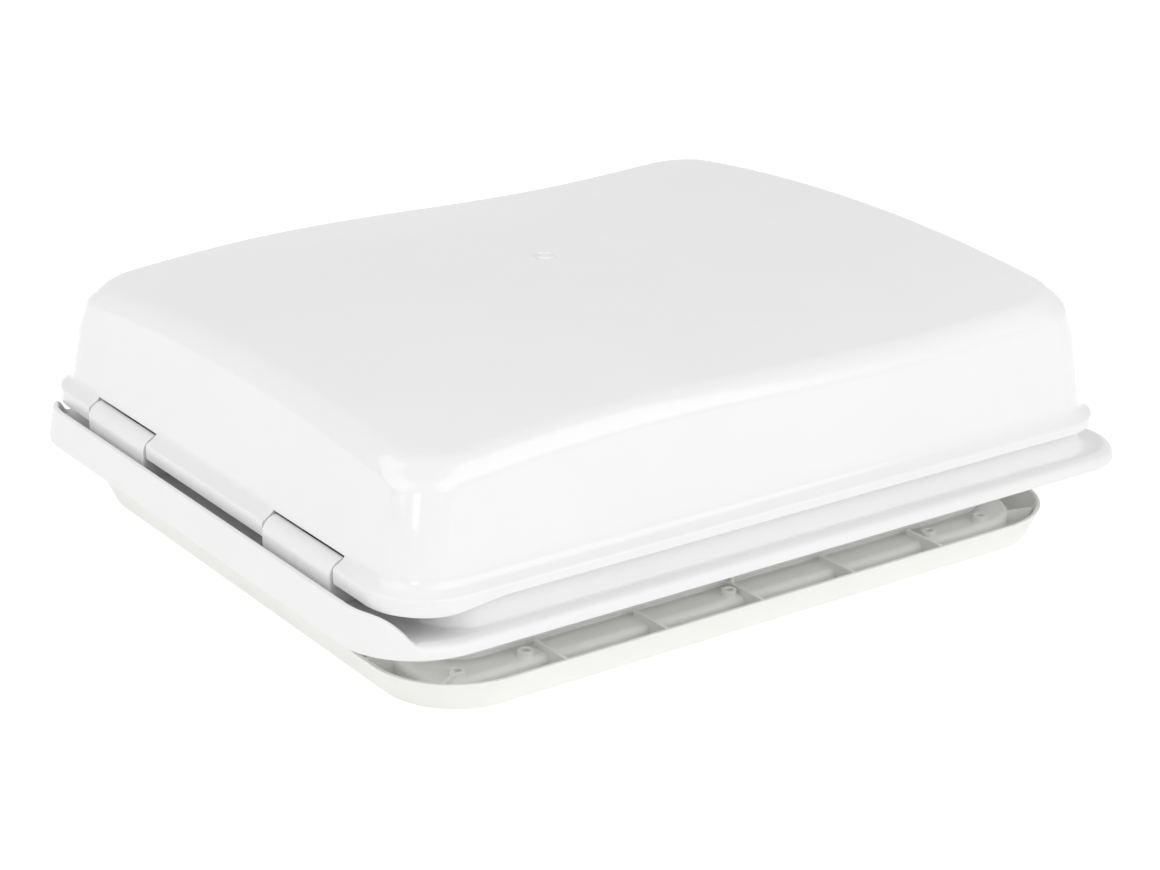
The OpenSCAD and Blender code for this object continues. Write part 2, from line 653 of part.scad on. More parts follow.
// Leaf of one hinge: a pad on the dome's wall and two ears that reach round the cover to the pin
module hinge_leaf(y) {
  pad_z0 = hinge_z + leaf_reach - 3;
  pad_z1 = pad_z0 + 22;
  pad_t = 4;
  x0 = dome_wall_x(pad_z0) + seat_gap;
  x1 = dome_wall_x(pad_z1) + seat_gap;
  color(grey) difference() {
    union() {
      upright(y - leaf_w / 2, y + leaf_w / 2)
        polygon([[x0, pad_z0], [x1, pad_z1], [x1 + pad_t, pad_z1], [x0 + pad_t, pad_z0]]);
      for (s = [-1, 1])
        upright(y + s * (leaf_w - ear_w) / 2 - ear_w / 2, y + s * (leaf_w - ear_w) / 2 + ear_w / 2) {
          translate([hinge_x, hinge_z]) {
            circle(eye_r);
            rotate(5) translate([0, -2.5]) square([leaf_reach - 1, 5]);
            intersection() {
              difference() {
                circle(leaf_reach);
                circle(leaf_root);
              }
              polygon([[0, 0], [30, 0], [30, 30], [30 * tan(15), 30]]);
            }
          }
          polygon([[x0, pad_z0], [x1, pad_z1], [x1 + pad_t, pad_z1], [hinge_x + leaf_reach - 2, hinge_z + 8],
            [hinge_x + leaf_root, hinge_z + 5]]);
        }
    }
    rod_y(hinge_x, hinge_z, pin_r + run_gap, y - leaf_w, y + leaf_w);
    rod_y(hinge_x, hinge_z, eye_r + 0.01, y - leaf_w / 2 + ear_w, y + leaf_w / 2 - ear_w);
  }
}
module hinge_leaf_near() { hinge_leaf(-hinge_y); }
module hinge_leaf_far() { hinge_leaf(hinge_y); }

module lift_track() {
  x0 = slot_path[slot_steps].x - track_end;
  x1 = slot_path[0].x + track_end;
  z0 = min([for (p = slot_path) p.y]) - roller_r - 5;
  ceiling = min([for (i = [0:8]) dome_top(x0 + (x1 - x0) * i / 8, track_y + 14)]) - dome_t - seat_gap;
  color(grey) {
    upright(track_y, track_y + track_t) difference() {
      translate([x0, z0]) square([x1 - x0, ceiling - z0]);
      polygon(concat([for (i = [0:slot_steps]) slot_edge(i, 90)],
        [for (t = [72:-18:-72]) slot_edge(slot_steps, t)],
        [for (i = [slot_steps:-1:0]) slot_edge(i, -90)], [for (t = [-108:-18:-252]) slot_edge(0, t)]));
    }
    translate([x0, track_y - 10, ceiling - 3]) cube([x1 - x0, track_t + 20, 3]);
  }
}

module lift_arm() {
  color(grey) upright(arm_y, arm_y + arm_t) translate([arm_x, arm_z]) rotate(arm_rest) difference() {
    union() {
      circle(arm_w / 2 + 2);
      translate([0, -arm_w / 2]) square([arm_len, arm_w]);
      translate([arm_len, 0]) circle(arm_w / 2);
    }
    circle(arm_shaft_r + run_gap / 2);
    translate([arm_len, 0]) circle(roller_pin_r + run_gap / 2);
  }
}

// Outline of the gear: straight sided teeth, one of its gaps facing the worm
module gear_outline() {
  root = gear_pr - tooth_in;
  tip = gear_pr + tooth_out;
  wide = tooth_half + tooth_flare * tooth_in;
  slim = tooth_half - tooth_flare * tooth_out;
  deg = 180 / PI / gear_pr;
  polygon([for (i = [0:gear_n - 1]) let (a = 360 * (i + 0.5) / gear_n)
    each [for (p = [[root, -wide], [tip, -slim], [tip, slim], [root, wide]])
      p[0] * [cos(a + p[1] * deg), sin(a + p[1] * deg)]]]);
}

module arm_gear() {
  color(steel) difference() {
    union() {
      upright(-gear_w / 2, gear_w / 2) translate([arm_x, arm_z]) gear_outline();
      rod_y(arm_x, arm_z, arm_shaft_r + 4, -box_half + move_gap, box_half - move_gap);
    }
    rod_y(arm_x, arm_z, arm_shaft_r + run_gap / 2, -box_half, box_half);
  }
}

module arm_shaft() {
  color(steel) rod_y(arm_x, arm_z, arm_shaft_r, -box_half - box_t, arm_y + arm_t);
}

module arm_bushes() {
  color(dark) for (s = [-1, 1]) difference() {
    rod_y(arm_x, arm_z, arm_shaft_r + bush_t, s * (box_half + box_t / 2) - box_t / 2,
      s * (box_half + box_t / 2) + box_t / 2);
    rod_y(arm_x, arm_z, arm_shaft_r + run_gap, -2 * box_half, 2 * box_half);
  }
}

module roller_pin() {
  color(steel) rod_y(roller_x, roller_z, roller_pin_r, track_y - 1, arm_y + arm_t);
}

module arm_roller() {
  color(dark) difference() {
    rod_y(roller_x, roller_z, roller_r, track_y - 0.5, arm_y - seat_gap);
    rod_y(roller_x, roller_z, roller_pin_r + run_gap, track_y - 2, arm_y + 1);
  }
}

module gearbox_base() {
  z0 = arm_z - box_half_h;
  bridge_x = arm_x + sqrt(pow(gear_pr + tooth_out, 2) - pow(box_half_h - box_t, 2)) + 1;
  color(grey) difference() {
    union() {
      for (s = [-1, 1]) translate([wall_x + seat_gap, s > 0 ? box_half : -box_half - box_t, z0])
        cube([box_x1 - wall_x - seat_gap, box_t, 2 * box_half_h]);
      translate([wall_x + seat_gap, -back_half, arm_z - box_half_h]) cube([box_t, 2 * back_half, box_half_h]);
      for (z = [z0, arm_z + box_half_h - box_t]) translate([bridge_x, -box_half - 1, z])
        cube([box_x1 - bridge_x, 2 * box_half + 2, box_t]);
    }
    rod_y(arm_x, arm_z, arm_shaft_r + bush_t + run_gap / 2, -2 * back_half, 2 * back_half);
    translate([crank_x, 0, z0 - 1]) cylinder(r = crank_r + bush_t + run_gap / 2, h = 2 * box_half_h + 2);
    for (s = [-1, 1], z = screw_z) translate([wall_x - 1, s * screw_y, z])
      rotate([0, 90, 0]) cylinder(r = screw_r + run_gap / 2, h = box_t + 2);
  }
}

module gearbox_screws() {
  color(steel) for (s = [-1, 1], z = screw_z)
    translate([wall_x - spigot_t - 0.5, s * screw_y, z]) rotate([0, 90, 0]) {
      cylinder(r = screw_r - run_gap, h = spigot_t + box_t + 1);
      translate([0, 0, spigot_t + 0.5 + seat_gap + box_t]) difference() {
        cylinder(r1 = screw_head_r, r2 = screw_head_r - 0.8, h = 2);
        translate([-screw_head_r, -0.4, 1.2]) cube([2 * screw_head_r, 0.8, 1]);
        translate([-0.4, -screw_head_r, 1.2]) cube([0.8, 2 * screw_head_r, 1]);
      }
    }
}

module gearbox_cover() {
  x0 = wall_x + seat_gap + box_t + seat_gap;
  half = box_half + box_t + seat_gap;
  z1 = arm_z - box_half_h;
  z0 = arm_z - gear_pr - tooth_out - 0.6 - box_cover_t;
  rise = 9;
  color(grey) difference() {
    translate([x0, -half - box_cover_t, z0])
      cube([box_x1 + seat_gap + box_cover_t - x0, 2 * half + 2 * box_cover_t, z1 - z0 + rise]);
    translate([x0 - 1, -half, z0 + box_cover_t])
      cube([box_x1 + seat_gap - x0 + 1, 2 * half, z1 - z0 + rise]);
    translate([crank_x, 0, z0 - 1]) cylinder(r = crank_r + 1, h = box_cover_t + 2);
  }
}

module crank_bushes() {
  color(dark) for (s = [-1, 1]) translate([crank_x, 0, arm_z + s * (box_half_h - box_t / 2) - box_t / 2])
    difference() {
      cylinder(r = crank_r + bush_t, h = box_t);
      translate([0, 0, -1]) cylinder(r = crank_r + run_gap, h = box_t + 2);
    }
}

module crank_shaft() {
  z0 = lever_up + lever_t;
  color(steel) translate([crank_x, 0, z0]) cylinder(r = crank_r, h = arm_z + box_half_h + 1 - z0);
}

// Worm: the radius follows a ridge that climbs one pitch in a turn
worm_sides = 24;
worm_steps = 8;
worm_bore = crank_r + run_gap + 0.1;
function ridge(f) =
  let (g = abs(f - round(f)) * gear_pitch, wide = tooth_half + tooth_flare * tooth_in)
  g > wide ? -tooth_in : g < tooth_half - tooth_flare * tooth_out ? tooth_out
    : tooth_out - (g - tooth_half + tooth_flare * tooth_out) / tooth_flare;
module worm() {
  rows = round(worm_len / gear_pitch * worm_steps);
  z0 = arm_z - worm_len / 2;
  step = worm_len / rows;
  n = worm_sides;
  outer = [for (j = [0:rows], i = [0:n - 1])
    let (a = 360 * i / n, z = z0 + j * step, f = (z - arm_z) / gear_pitch - (a - 180) / 360,
      r = worm_pr + (j == 0 || j == rows ? -tooth_in : ridge(f)))
    [crank_x + r * cos(a), r * sin(a), z]];
  bore = [for (j = [0, rows], i = [0:n - 1])
    [crank_x + worm_bore * cos(360 * i / n), worm_bore * sin(360 * i / n), z0 + j * step]];
  m = (rows + 1) * n;
  color(steel) polyhedron(points = concat(outer, bore), faces = concat(
    [for (j = [0:rows - 1], i = [0:n - 1]) let (a = j * n + i, b = j * n + (i + 1) % n)
      each [[a, a + n, b], [b, a + n, b + n]]],
    [for (i = [0:n - 1]) let (k = (i + 1) % n, a = m + i, b = m + k)
      each [[a, b, a + n], [b, b + n, a + n], [i, k, a], [k, b, a],
        [rows * n + i, a + n, rows * n + k], [rows * n + k, a + n, b + n]]]));
}

module crank_lever() {
  color(white) difference() {
    union() {
      translate([crank_x, 0, lever_up]) cylinder(r = hub_r, h = lever_t + hub_up);
      translate([crank_x, 0, lever_up]) linear_extrude(lever_t) {
        translate([0, -lever_w / 2]) square([lever_len, lever_w]);
        translate([lever_len, 0]) circle(lever_w / 2);
      }
    }
    translate([fold_x - grip_len - 2, -slot_w / 2, lever_up - 1])
      cube([lever_len + lever_w, slot_w, lever_t + 2]);
    translate([crank_x, 0, lever_up + lever_t - 0.2]) cylinder(r = crank_r + run_gap / 2, h = 20);
    translate([crank_x, 0, lever_up - 1]) cylinder(r = screw_r + run_gap, h = lever_t + 2);
    translate([crank_x, 0, lever_up - 1]) cylinder(r = screw_head_r + 0.2, h = 3);
    rod_y(fold_x, lever_mid, fold_pin_r + run_gap / 2, -lever_w, lever_w);
  }
}

module crank_screw() {
  color(steel) translate([crank_x, 0, lever_up]) {
    difference() {
      cylinder(r = screw_head_r, h = 1.8);
      translate([-screw_head_r, -0.4, -1]) cube([2 * screw_head_r, 0.8, 1.8]);
    }
    cylinder(r = screw_r, h = lever_t - 0.2);
  }
}

module fold_pin() {
  color(steel) rod_y(fold_x, lever_mid, fold_pin_r, -lever_w / 2 + 0.1, lever_w / 2 - 0.1);
}

module grip_stem() {
  color(steel) difference() {
    union() {
      rod_y(fold_x, lever_mid, fold_pin_r + 1.4, -slot_w / 2 + seat_gap, slot_w / 2 - seat_gap);
      translate([fold_x, 0, lever_mid]) rotate([0, -90, 0]) cylinder(r = stem_r, h = grip_len - 2);
      translate([fold_x - grip_len + 2, 0, lever_mid]) rotate([0, -90, 0]) cylinder(r = stem_r + 1, h = 1.4);
    }
    rod_y(fold_x, lever_mid, fold_pin_r + run_gap, -slot_w, slot_w);
  }
}

module grip_sleeve() {
  color(dark) translate([fold_x - 5, 0, lever_mid]) rotate([0, -90, 0]) rotate_extrude() difference() {
    square([grip_r, grip_len - 7 - seat_gap]);
    translate([-1, -1]) square([1 + stem_r + run_gap, grip_len]);
    for (i = [1:4]) translate([grip_r + 0.3, i * (grip_len - 7) / 5]) circle(0.8);
  }
}

module net_frame() {
  hub_x = crank_x - cut_c;
  bar_len = hub_x - ring_r + net_x / 2;
  color(white) translate([cut_c, 0, net_low]) linear_extrude(net_t) {
    difference() {
      plan(-net_x / 2, net_x / 2, net_y, collar_r);
      plan(-net_x / 2 + net_bar, net_x / 2 - net_bar, net_y - 2 * net_bar, collar_r - net_bar + 2);
    }
    difference() {
      union() {
        translate([hub_x, 0]) circle(ring_r + ring_w);
        translate([-net_x / 2 + 1, -ring_w]) square([bar_len, 2 * ring_w]);
      }
      translate([hub_x, 0]) circle(ring_r);
    }
  }
}

module net_mesh() {
  in_x = net_x - 2 * net_bar - 2 * seat_gap;
  in_y = net_y - 2 * net_bar - 2 * seat_gap;
  px = (in_x - strand_w) / net_gaps_x;
  py = (in_y - strand_w) / net_gaps_y;
  hub_x = crank_x - cut_c;
  color(dark) translate([cut_c, 0, net_top - mesh_t - 0.2]) linear_extrude(mesh_t) difference() {
    translate([-in_x / 2, -in_y / 2]) square([in_x, in_y]);
    for (i = [0:net_gaps_x - 1], j = [0:net_gaps_y - 1])
      translate([-in_x / 2 + strand_w + i * px, -in_y / 2 + strand_w + j * py])
        square([px - strand_w, py - strand_w]);
    translate([hub_x, 0]) circle(ring_r + ring_w + seat_gap);
    translate([-net_x / 2, -ring_w - seat_gap]) square([hub_x + net_x / 2, 2 * ring_w + 2 * seat_gap]);
    for (sx = [-1, 1], sy = [-1, 1]) translate([sx * in_x / 2, sy * in_y / 2]) circle(12);
  }
}

// Turn button of the flynet, reaching over the net frame
module net_button(sx, sy) {
  color(grey) translate([cut_c + sx * button_x, sy * button_y, 0]) difference() {
    union() {
      translate([0, 0, button_top - button_t]) linear_extrude(button_t) {
        circle(button_r);
        translate([sx > 0 ? -button_len : 0, -button_r * 0.75]) square([button_len, button_r * 1.5]);
        translate([-sx * button_len, 0]) circle(button_r * 0.75);
      }
      translate([0, 0, button_top - 0.1]) cylinder(r = button_r - 0.4, h = ledge_low - button_top - 0.2);
    }
    translate([0, 0, -1]) cylinder(r = button_screw_r + run_gap, h = lip_h);
  }
}
module net_button_1() { net_button(-1, -1); }
module net_button_2() { net_button(-1, 1); }
module net_button_3() { net_button(1, -1); }
module net_button_4() { net_button(1, 1); }

module button_screws() {
  head_top = button_top - button_t - 0.1;
  color(steel) for (sx = [-1, 1], sy = [-1, 1])
    translate([cut_c + sx * button_x, sy * button_y, head_top - 1.6]) difference() {
      union() {
        cylinder(r1 = button_screw_r + 0.8, r2 = button_screw_r + 1.6, h = 1.6);
        cylinder(r = button_screw_r, h = boss_top - head_top + 1);
      }
      translate([-5, -0.4, -1]) cube([10, 0.8, 1.7]);
      translate([-0.4, -5, -1]) cube([0.8, 10, 1.7]);
    }
}

roof_frame();
ceiling_trim();
dome_seal();
hinge_cover_near();
hinge_cover_far();
hinge_pins();
net_frame();
net_mesh();
gearbox_base();
gearbox_cover();
gearbox_screws();
arm_bushes();
crank_bushes();
button_screws();
dome_shell();
hinge_leaf_near();
hinge_leaf_far();
lift_track();
lift_arm();
arm_gear();
arm_shaft();
roller_pin();
arm_roller();
crank_shaft();
worm();
crank_lever();
crank_screw();
fold_pin();
grip_stem();
grip_sleeve();
net_button_1();
net_button_2();
net_button_3();
net_button_4();
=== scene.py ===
"""Caravan roof vent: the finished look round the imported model. Lengths in the functions are millimetres."""

import math

import bmesh
import bpy
from bpy.props import FloatProperty, FloatVectorProperty, IntProperty, PointerProperty
from mathutils import Matrix, Vector


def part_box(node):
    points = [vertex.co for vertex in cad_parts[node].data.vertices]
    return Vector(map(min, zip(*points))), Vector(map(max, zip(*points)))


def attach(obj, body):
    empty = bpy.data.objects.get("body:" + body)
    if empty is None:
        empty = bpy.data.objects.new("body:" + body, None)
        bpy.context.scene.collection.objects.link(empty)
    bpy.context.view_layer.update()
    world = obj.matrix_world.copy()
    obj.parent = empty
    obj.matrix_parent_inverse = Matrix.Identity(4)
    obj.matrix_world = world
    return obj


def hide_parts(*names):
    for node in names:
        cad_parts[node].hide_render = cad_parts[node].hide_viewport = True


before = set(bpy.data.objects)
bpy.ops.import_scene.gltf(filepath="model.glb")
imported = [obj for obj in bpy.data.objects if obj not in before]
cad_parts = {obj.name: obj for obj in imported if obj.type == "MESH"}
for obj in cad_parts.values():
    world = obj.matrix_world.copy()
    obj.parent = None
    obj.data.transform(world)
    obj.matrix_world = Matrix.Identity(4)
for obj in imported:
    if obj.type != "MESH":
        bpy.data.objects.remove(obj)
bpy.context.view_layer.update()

bl_info = {
    "name": "Caravan roof vent",
    "version": (1, 0, 0),
    "blender": (4, 5, 0),
    "location": "3D View > Sidebar > Roof vent",
    "description": "Finishes the pieces of a caravan roof vent round its packed model",
    "category": "Object",
}

MM = 0.001


def linear(hex_colour):
    """sRGB hex to linear RGBA."""
    parts = [int(hex_colour[i:i + 2], 16) / 255 for i in (1, 3, 5)]
    return [p / 12.92 if p <= 0.04045 else ((p + 0.055) / 1.055) ** 2.4 for p in parts] + [1.0]


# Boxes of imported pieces, in millimetres
FRAME_LOW, FRAME_HIGH = (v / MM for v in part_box("roof_frame"))
DOME_LOW, DOME_HIGH = (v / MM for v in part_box("dome_shell"))
SEAL_LOW, SEAL_HIGH = (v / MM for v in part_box("dome_seal"))
TRIM_LOW, TRIM_HIGH = (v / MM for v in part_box("ceiling_trim"))
NET_LOW, NET_HIGH = (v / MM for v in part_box("net_mesh"))

# Middle of the roof cut-out along x
CUT_C = -5.5

# Roof frame: flange with a rounded edge, hinge rail that swoops down to it, coaming and spigot
FLANGE_Z, FLANGE_H, FLANGE_T, LAND_W = 39.4, 7.4, 3.0, 12.0
FLOOR_Z = FLANGE_Z + FLANGE_H
EDGE_R, EDGE_FALL = 5.0, 1.6
EDGE_LOW = FLANGE_H - EDGE_R
EDGE_W, EDGE_FOOT = EDGE_R + 1, EDGE_R + 3
RAIL_H, RAIL_T, RAIL_LEAN = 19.4, 2.6, 0.18
RAIL_FOOT = RAIL_LEAN * FLANGE_H + RAIL_T + 1.3
SWOOP_IN, SWOOP_LEN = 2.0, 20.5
COAMING_TOP, COAMING_IN = 62.0, 0.5
FOOT_R, FOOT_R_WIDE, FOOT_FROM, FOOT_LEN = 2.0, 11.0, 10.0, 30.0
SPIGOT_LOW, SPIGOT_T, SPIGOT_X, SPIGOT_Y = 15.0, 2.5, 178.5, 158.5
FRAME_FILLET, SPIGOT_FILLET, BED_ROUND, LAND_ROUND, COVER_ROUND = 2.0, 1.5, 1.2, 0.5, 0.6

# Dome: rim that dips by the hinge, shoulder, drafted wall, rounded edge and waved top
RIM_Z, LIP_Z, TOP_Z = 62.4, 66.8, 143.55
RIM_DIP, DIP_FROM, DIP_LEN = 3.5, 60.0, 40.0
DOME_T = 2.5
WALL_LOW = LIP_Z + 12
WALL_IN, EDGE_IN, DOME_EDGE_R = 8.2, 14.5, 13.0
CORNER_R, CORNER_SOFT, SOFT_FROM, SOFT_LEN = 34.0, 16.0, 12.9, 5.1
TOP_IN_HINGE, TOP_IN = 15.0, 16.5
TOP_RISE, TOP_WAVE, CROWN_X, CROWN_Y = 11.4, 4.1, 2.5, 12.7
HINGE_Y = 98.0
NOTCH_W, NOTCH_TOP, NOTCH_DEEP, NOTCH_DOWN, NOTCH_OUT = 69.0, 72.0, 17.0, 20.0, 5.0
# Shoulder outside and inside: inset from the rim's skin, height over the lip
SHOULDER_OUT = ((0.0, -0.6), (0.25, 0.35), (0.9, 1.0), (3.6, 2.5), (6.2, 4.6), (7.5, 7.8))
SHOULDER_IN = ((0.0, -2.2), (0.5, -0.8), (2.1, 0.5), (5.2, 3.0), (7.2, 7.0))
# Rounding of the rim's lower edge: inset from its skin, height over its lowest line
RIM_ROLL = ((0.8, 0.0), (0.25, 0.2), (0.0, 0.8))
# Gate mark on the top: place, and section as radius and height
GATE_X, GATE_Y = -6.3, 16.8
GATE_SECTION = ((6.0, -0.3), (5.9, 0.6), (5.6, 0.95), (5.2, 1.0), (4.9, 0.8), (4.7, 0.3), (4.6, -0.3))

# Seal: width of its section and rounding at its foot
SEAL_W, SEAL_ROUND = 3.5, 0.3

# Ceiling trim: flared lip, ledge with its riser, collar, screw bosses, ribs and webs
LIP_H, LIP_FLARE, TRIM_T = 16.4, 7.3, 2.4
TRIM_FILLET, TROUGH_IN, FOOT_SOFT = 1.0, 1.0, 1.5
LEDGE_H, LEDGE_ROUND = 12.3, 4.0
COLLAR_H, COLLAR_X, COLLAR_Y = 20.5, 175.5, 155.5
LEDGE_LOW = LEDGE_H - TRIM_T
RISER_X, RISER_Y = 191.5, 173.0
BOSS_X = (-181.9, -143.02, -18.82, 116.18, 152.9)
BOSS_Y, BOSS_TOP, BOSS_HOLE, BOSS_SINK, HOLE_OVER = 166.75, 15.6, 2.0, 0.4, 1.0
BUTTON_REACH = 184.1
BUTTON_X, BUTTON_Y, BUTTON_HOLE = (CUT_C - BUTTON_REACH, CUT_C + BUTTON_REACH), (-90.0, 90.0), 1.66
RIB_SHIFT, RIB_BACK, RIB_GAP = 7.02, 6.0, 1.0
END_RIB_Y, END_BACK = 131.2, 5.0
POST_X, POST_Y, POST_T, POST_TOP = -12.0, 159.2, 2.0, 19.0
WEB_HALF, WEB_SINK, WEB_FOOT, WEB_LIP, WEB_ROUND, WEB_ANGLE = 1.0, 1.0, 0.5, 0.8, 0.35, 30
CORNER_WEB_IN, CORNER_WEB_DROP = 1.4, 2.0
# Boss foot and boss top: radius, height over the sunk foot or over the top
BOSS_FOOT_SECTION = ((2.0, 0.0), (4.4, 0.0), (4.1, 0.5), (4.0, 1.0))
BOSS_TOP_SECTION = ((4.0, -0.5), (3.85, -0.15), (3.5, 0.0), (2.5, 0.0), (2.15, -0.15), (2.0, -0.5))
# Web of the hinge side's corner boss: reach of its start, the riser, the lip's foot and the lip's top
BOSS_WEB, BOSS_WEB_TURN = (3.0, 8.4, 11.4, 16.6), 64

# Crank, and the hole that the flynet has for it
CRANK_X, NET_HOLE = -112.0, 11.0
BUTTON_ROUND = 0.4

# Plans of the main pieces: low x, high x, half width, corner radius at the hinge side and the opening side
FLANGE_PLAN = (FRAME_LOW.x, FRAME_HIGH.x, FRAME_HIGH.y, 45.0, 35.0)
DOME_PLAN = (DOME_LOW.x, DOME_HIGH.x, DOME_HIGH.y, CORNER_R, CORNER_R)
COAMING_PLAN = (SEAL_LOW.x + COAMING_IN, SEAL_HIGH.x - COAMING_IN, SEAL_HIGH.y - COAMING_IN, 27.0, 27.0)
SEAL_PLAN = (SEAL_LOW.x, SEAL_HIGH.x, SEAL_HIGH.y, 27.5, 27.5)
SPIGOT_PLAN = (CUT_C - SPIGOT_X, CUT_C + SPIGOT_X, SPIGOT_Y, 22.0, 22.0)
COLLAR_PLAN = (CUT_C - COLLAR_X, CUT_C + COLLAR_X, COLLAR_Y, 19.5, 19.5)
TRIM_PLAN = (TRIM_LOW.x + LIP_FLARE, TRIM_HIGH.x - LIP_FLARE, TRIM_HIGH.y - LIP_FLARE, 41.0, 41.0)
LEDGE_PLAN = (CUT_C - RISER_X, CUT_C + RISER_X, RISER_Y, 14.0, 31.0)

# Moulded finishes by slot: name, colour or the property that holds it, roughness, size and strength of the
# ripple, size and strength of the grain, depth of the flow marks. Grain is drawn coarser than real, to show
MOULDED = {
    # Polished tool, so clear reflections with a long soft ripple
    "dome_plastic": ("Gloss white ASA, moulded", "dome", 0.13, 22, 0.04, 1.2, 0.015, 0.035),
    # Nearly the dome's white, and duller
    "frame_plastic": ("Satin white ABS, moulded", "roof_frame", 0.34, 18, 0.05, 0.9, 0.05, 0.035),
    # Warmer white, matt from a spark eroded tool
    "trim_plastic": ("Warm white ABS, fine texture", "trim", 0.45, 14, 0.05, 0.8, 0.12, 0.035),
    # Near black and dull
    "seal_rubber": ("Black EPDM, extruded", "#2c2d2f", 0.72, 6, 0.1, 0.6, 0.25, 0.2),
    # Cloudy grey with a dry sheen
    "grey_nylon": ("Grey glass filled nylon", "winder", 0.48, 8, 0.06, 0.7, 0.2, 0.12),
    # Dark, slippery and slightly glossy
    "dark_acetal": ("Dark acetal, moulded", "#3a3b3d", 0.36, 6, 0.05, 0.6, 0.1, 0.15),
    # Dark grey coated threads
    "net_fibre": ("Coated glass fibre", "#5b5e60", 0.55, 3, 0.1, 0.3, 0.2, 0.25),
}
FLOW_SIZE, WEAR_SIZE, RIPPLE_DEEP, GRAIN_DEEP, PLASTIC_IOR = 60, 18, 0.4, 0.1, 1.53
# Plated steel: sizes of the clouds and of the drawn lines, which are stretched across
CLOUD_SIZE, DRAWN_SIZE, DRAWN_STRETCH, DRAWN_BUMP = 5, 2, 12, 0.08
STEEL_COLOURS, STEEL_ROUGH = ("#c3c7c9", "#d6d4cc"), (0.24, 0.42)
# Part of a noise that spreads the gloss, and the spread on plastics as shares of the roughness
NOISE_LOW, NOISE_HIGH, GLOSS_LOW, GLOSS_HIGH = 0.3, 0.7, 0.85, 1.2

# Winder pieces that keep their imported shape: body and slot
WINDER_PIECES = {
    "gearbox_base": ("root", "grey_nylon"), "gearbox_cover": ("root", "grey_nylon"),
    "hinge_leaf_near": ("dome", "grey_nylon"), "hinge_leaf_far": ("dome", "grey_nylon"),
    "lift_track": ("dome", "grey_nylon"), "lift_arm": ("arm", "plated_steel"),
    "arm_gear": ("arm", "plated_steel"), "arm_shaft": ("arm", "plated_steel"),
    "roller_pin": ("arm", "plated_steel"), "arm_roller": ("roller", "dark_acetal"),
    "crank_shaft": ("crank", "plated_steel"), "crank_lever": ("crank", "trim_plastic"),
    "fold_pin": ("crank", "plated_steel"), "grip_stem": ("grip", "plated_steel"),
    "grip_sleeve": ("sleeve", "dark_acetal"), "hinge_pins": ("root", "plated_steel"),
    "arm_bushes": ("root", "dark_acetal"), "crank_bushes": ("root", "dark_acetal"),
    "worm": ("crank", "plated_steel"),
}

# Screws: body, head height and shank radius
SCREWS = {"gearbox_screws": ("root", 2.0, 1.64), "button_screws": ("root", 1.6, 1.6),
          "crank_screw": ("crank", 1.8, 1.7)}
HEAD_R, AXIS_R, TIP_IN, TIP_UP, SEAT_LAP = 3.2, 0.02, 0.3, 0.4, 0.02
# Cross recess, as shares of the head's radius and height
CROSS_LONG, CROSS_WIDE, CROSS_FLOOR, CROSS_TOP = 0.62, 0.13, 0.45, 2.0

# Lamps: place and size in metres, power in watts
LAMPS = {"Key": ((0.35, -1.55, 1.3), 2.0, 19), "Side": ((-1.6, 0.35, 1.15), 1.8, 12),
         "Corner": ((-1.35, -0.95, 0.4), 0.3, 1.2)}
LAMP_AIM = (0, 0, 0.07)
# Strength of the backdrop and of the floor's glow: for rays that light the vent, for rays that see them
SKY = (0.5, 1.0)
GLOW = (0.15, 0.56)
FLOOR_COLOUR, FLOOR_HALF, FLOOR_DOWN = "#f2f2f2", 6.0, 0.2

# Camera: angles in degrees, place along its own right, up and back in millimetres, focal length in pixels
CAMERA_TURN, CAMERA_RISE = -34.849, 20.905
CAMERA_PLACE = (4.273, 40.058, 1513.885)
FOCAL_PX, PHOTO_PX, SENSOR_W = 2699.0, 1160, 36.0

# Counts of steps in curves: plan corners and sides, edges, dome, gate mark, bulb and holes
ARC_N, SIDE_N, ROUND_N, TURN_N = 24, 18, 4, 32
OUT_N, IN_N, DOME_EDGE_N, DOME_TOP_N, GATE_N = 4, 3, 12, 24, 48
BULB_N, HOLE_N, SCREW_N, STRAND_POINTS = 10, 24, 24, 44
ARC_STEP = 15

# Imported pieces: gap under which points merge, angle under which faces are one, angle over which edges round
MERGE_GAP, FLAT_ANGLE, SHARP_ANGLE = 0.002, 0.5, 40


class VentColours(bpy.types.PropertyGroup):
    """Colours of the vent's finishes."""

    dome: FloatVectorProperty(
        name="Dome", description="Gloss white of the dome",
        subtype="COLOR", size=4, default=linear("#f0f0f1"))
    roof_frame: FloatVectorProperty(
        name="Roof frame", description="White of the roof frame",
        subtype="COLOR", size=4, default=linear("#f0f0f0"))
    trim: FloatVectorProperty(
        name="Ceiling trim", description="Warm white of the trim",
        subtype="COLOR", size=4, default=linear("#f5f5f2"))
    winder: FloatVectorProperty(
        name="Winder", description="Grey of the winder's nylon",
        subtype="COLOR", size=4, default=linear("#b9bbbd"))


class VentSizes(bpy.types.PropertyGroup):
    """Sizes of the finish."""

    edge_round: FloatProperty(
        name="Edge rounding", description="Rounding of moulded edges", unit="LENGTH", default=0.8 * MM)
    small_round: FloatProperty(
        name="Small rounding", description="Rounding of the winder's edges", unit="LENGTH",
        default=0.25 * MM)
    net_pitch: FloatProperty(
        name="Net pitch", description="Spacing of the flynet's strands", unit="LENGTH", default=1.4 * MM)
    net_strand: FloatProperty(
        name="Net strand", description="Width of a strand of the flynet", unit="LENGTH", default=0.37 * MM)
    rib_count: IntProperty(name="Ribs", description="Ribs along each long side of the trim", default=5)
    rib_pitch: FloatProperty(
        name="Rib pitch", description="Spacing of the trim's ribs", unit="LENGTH", default=60 * MM)


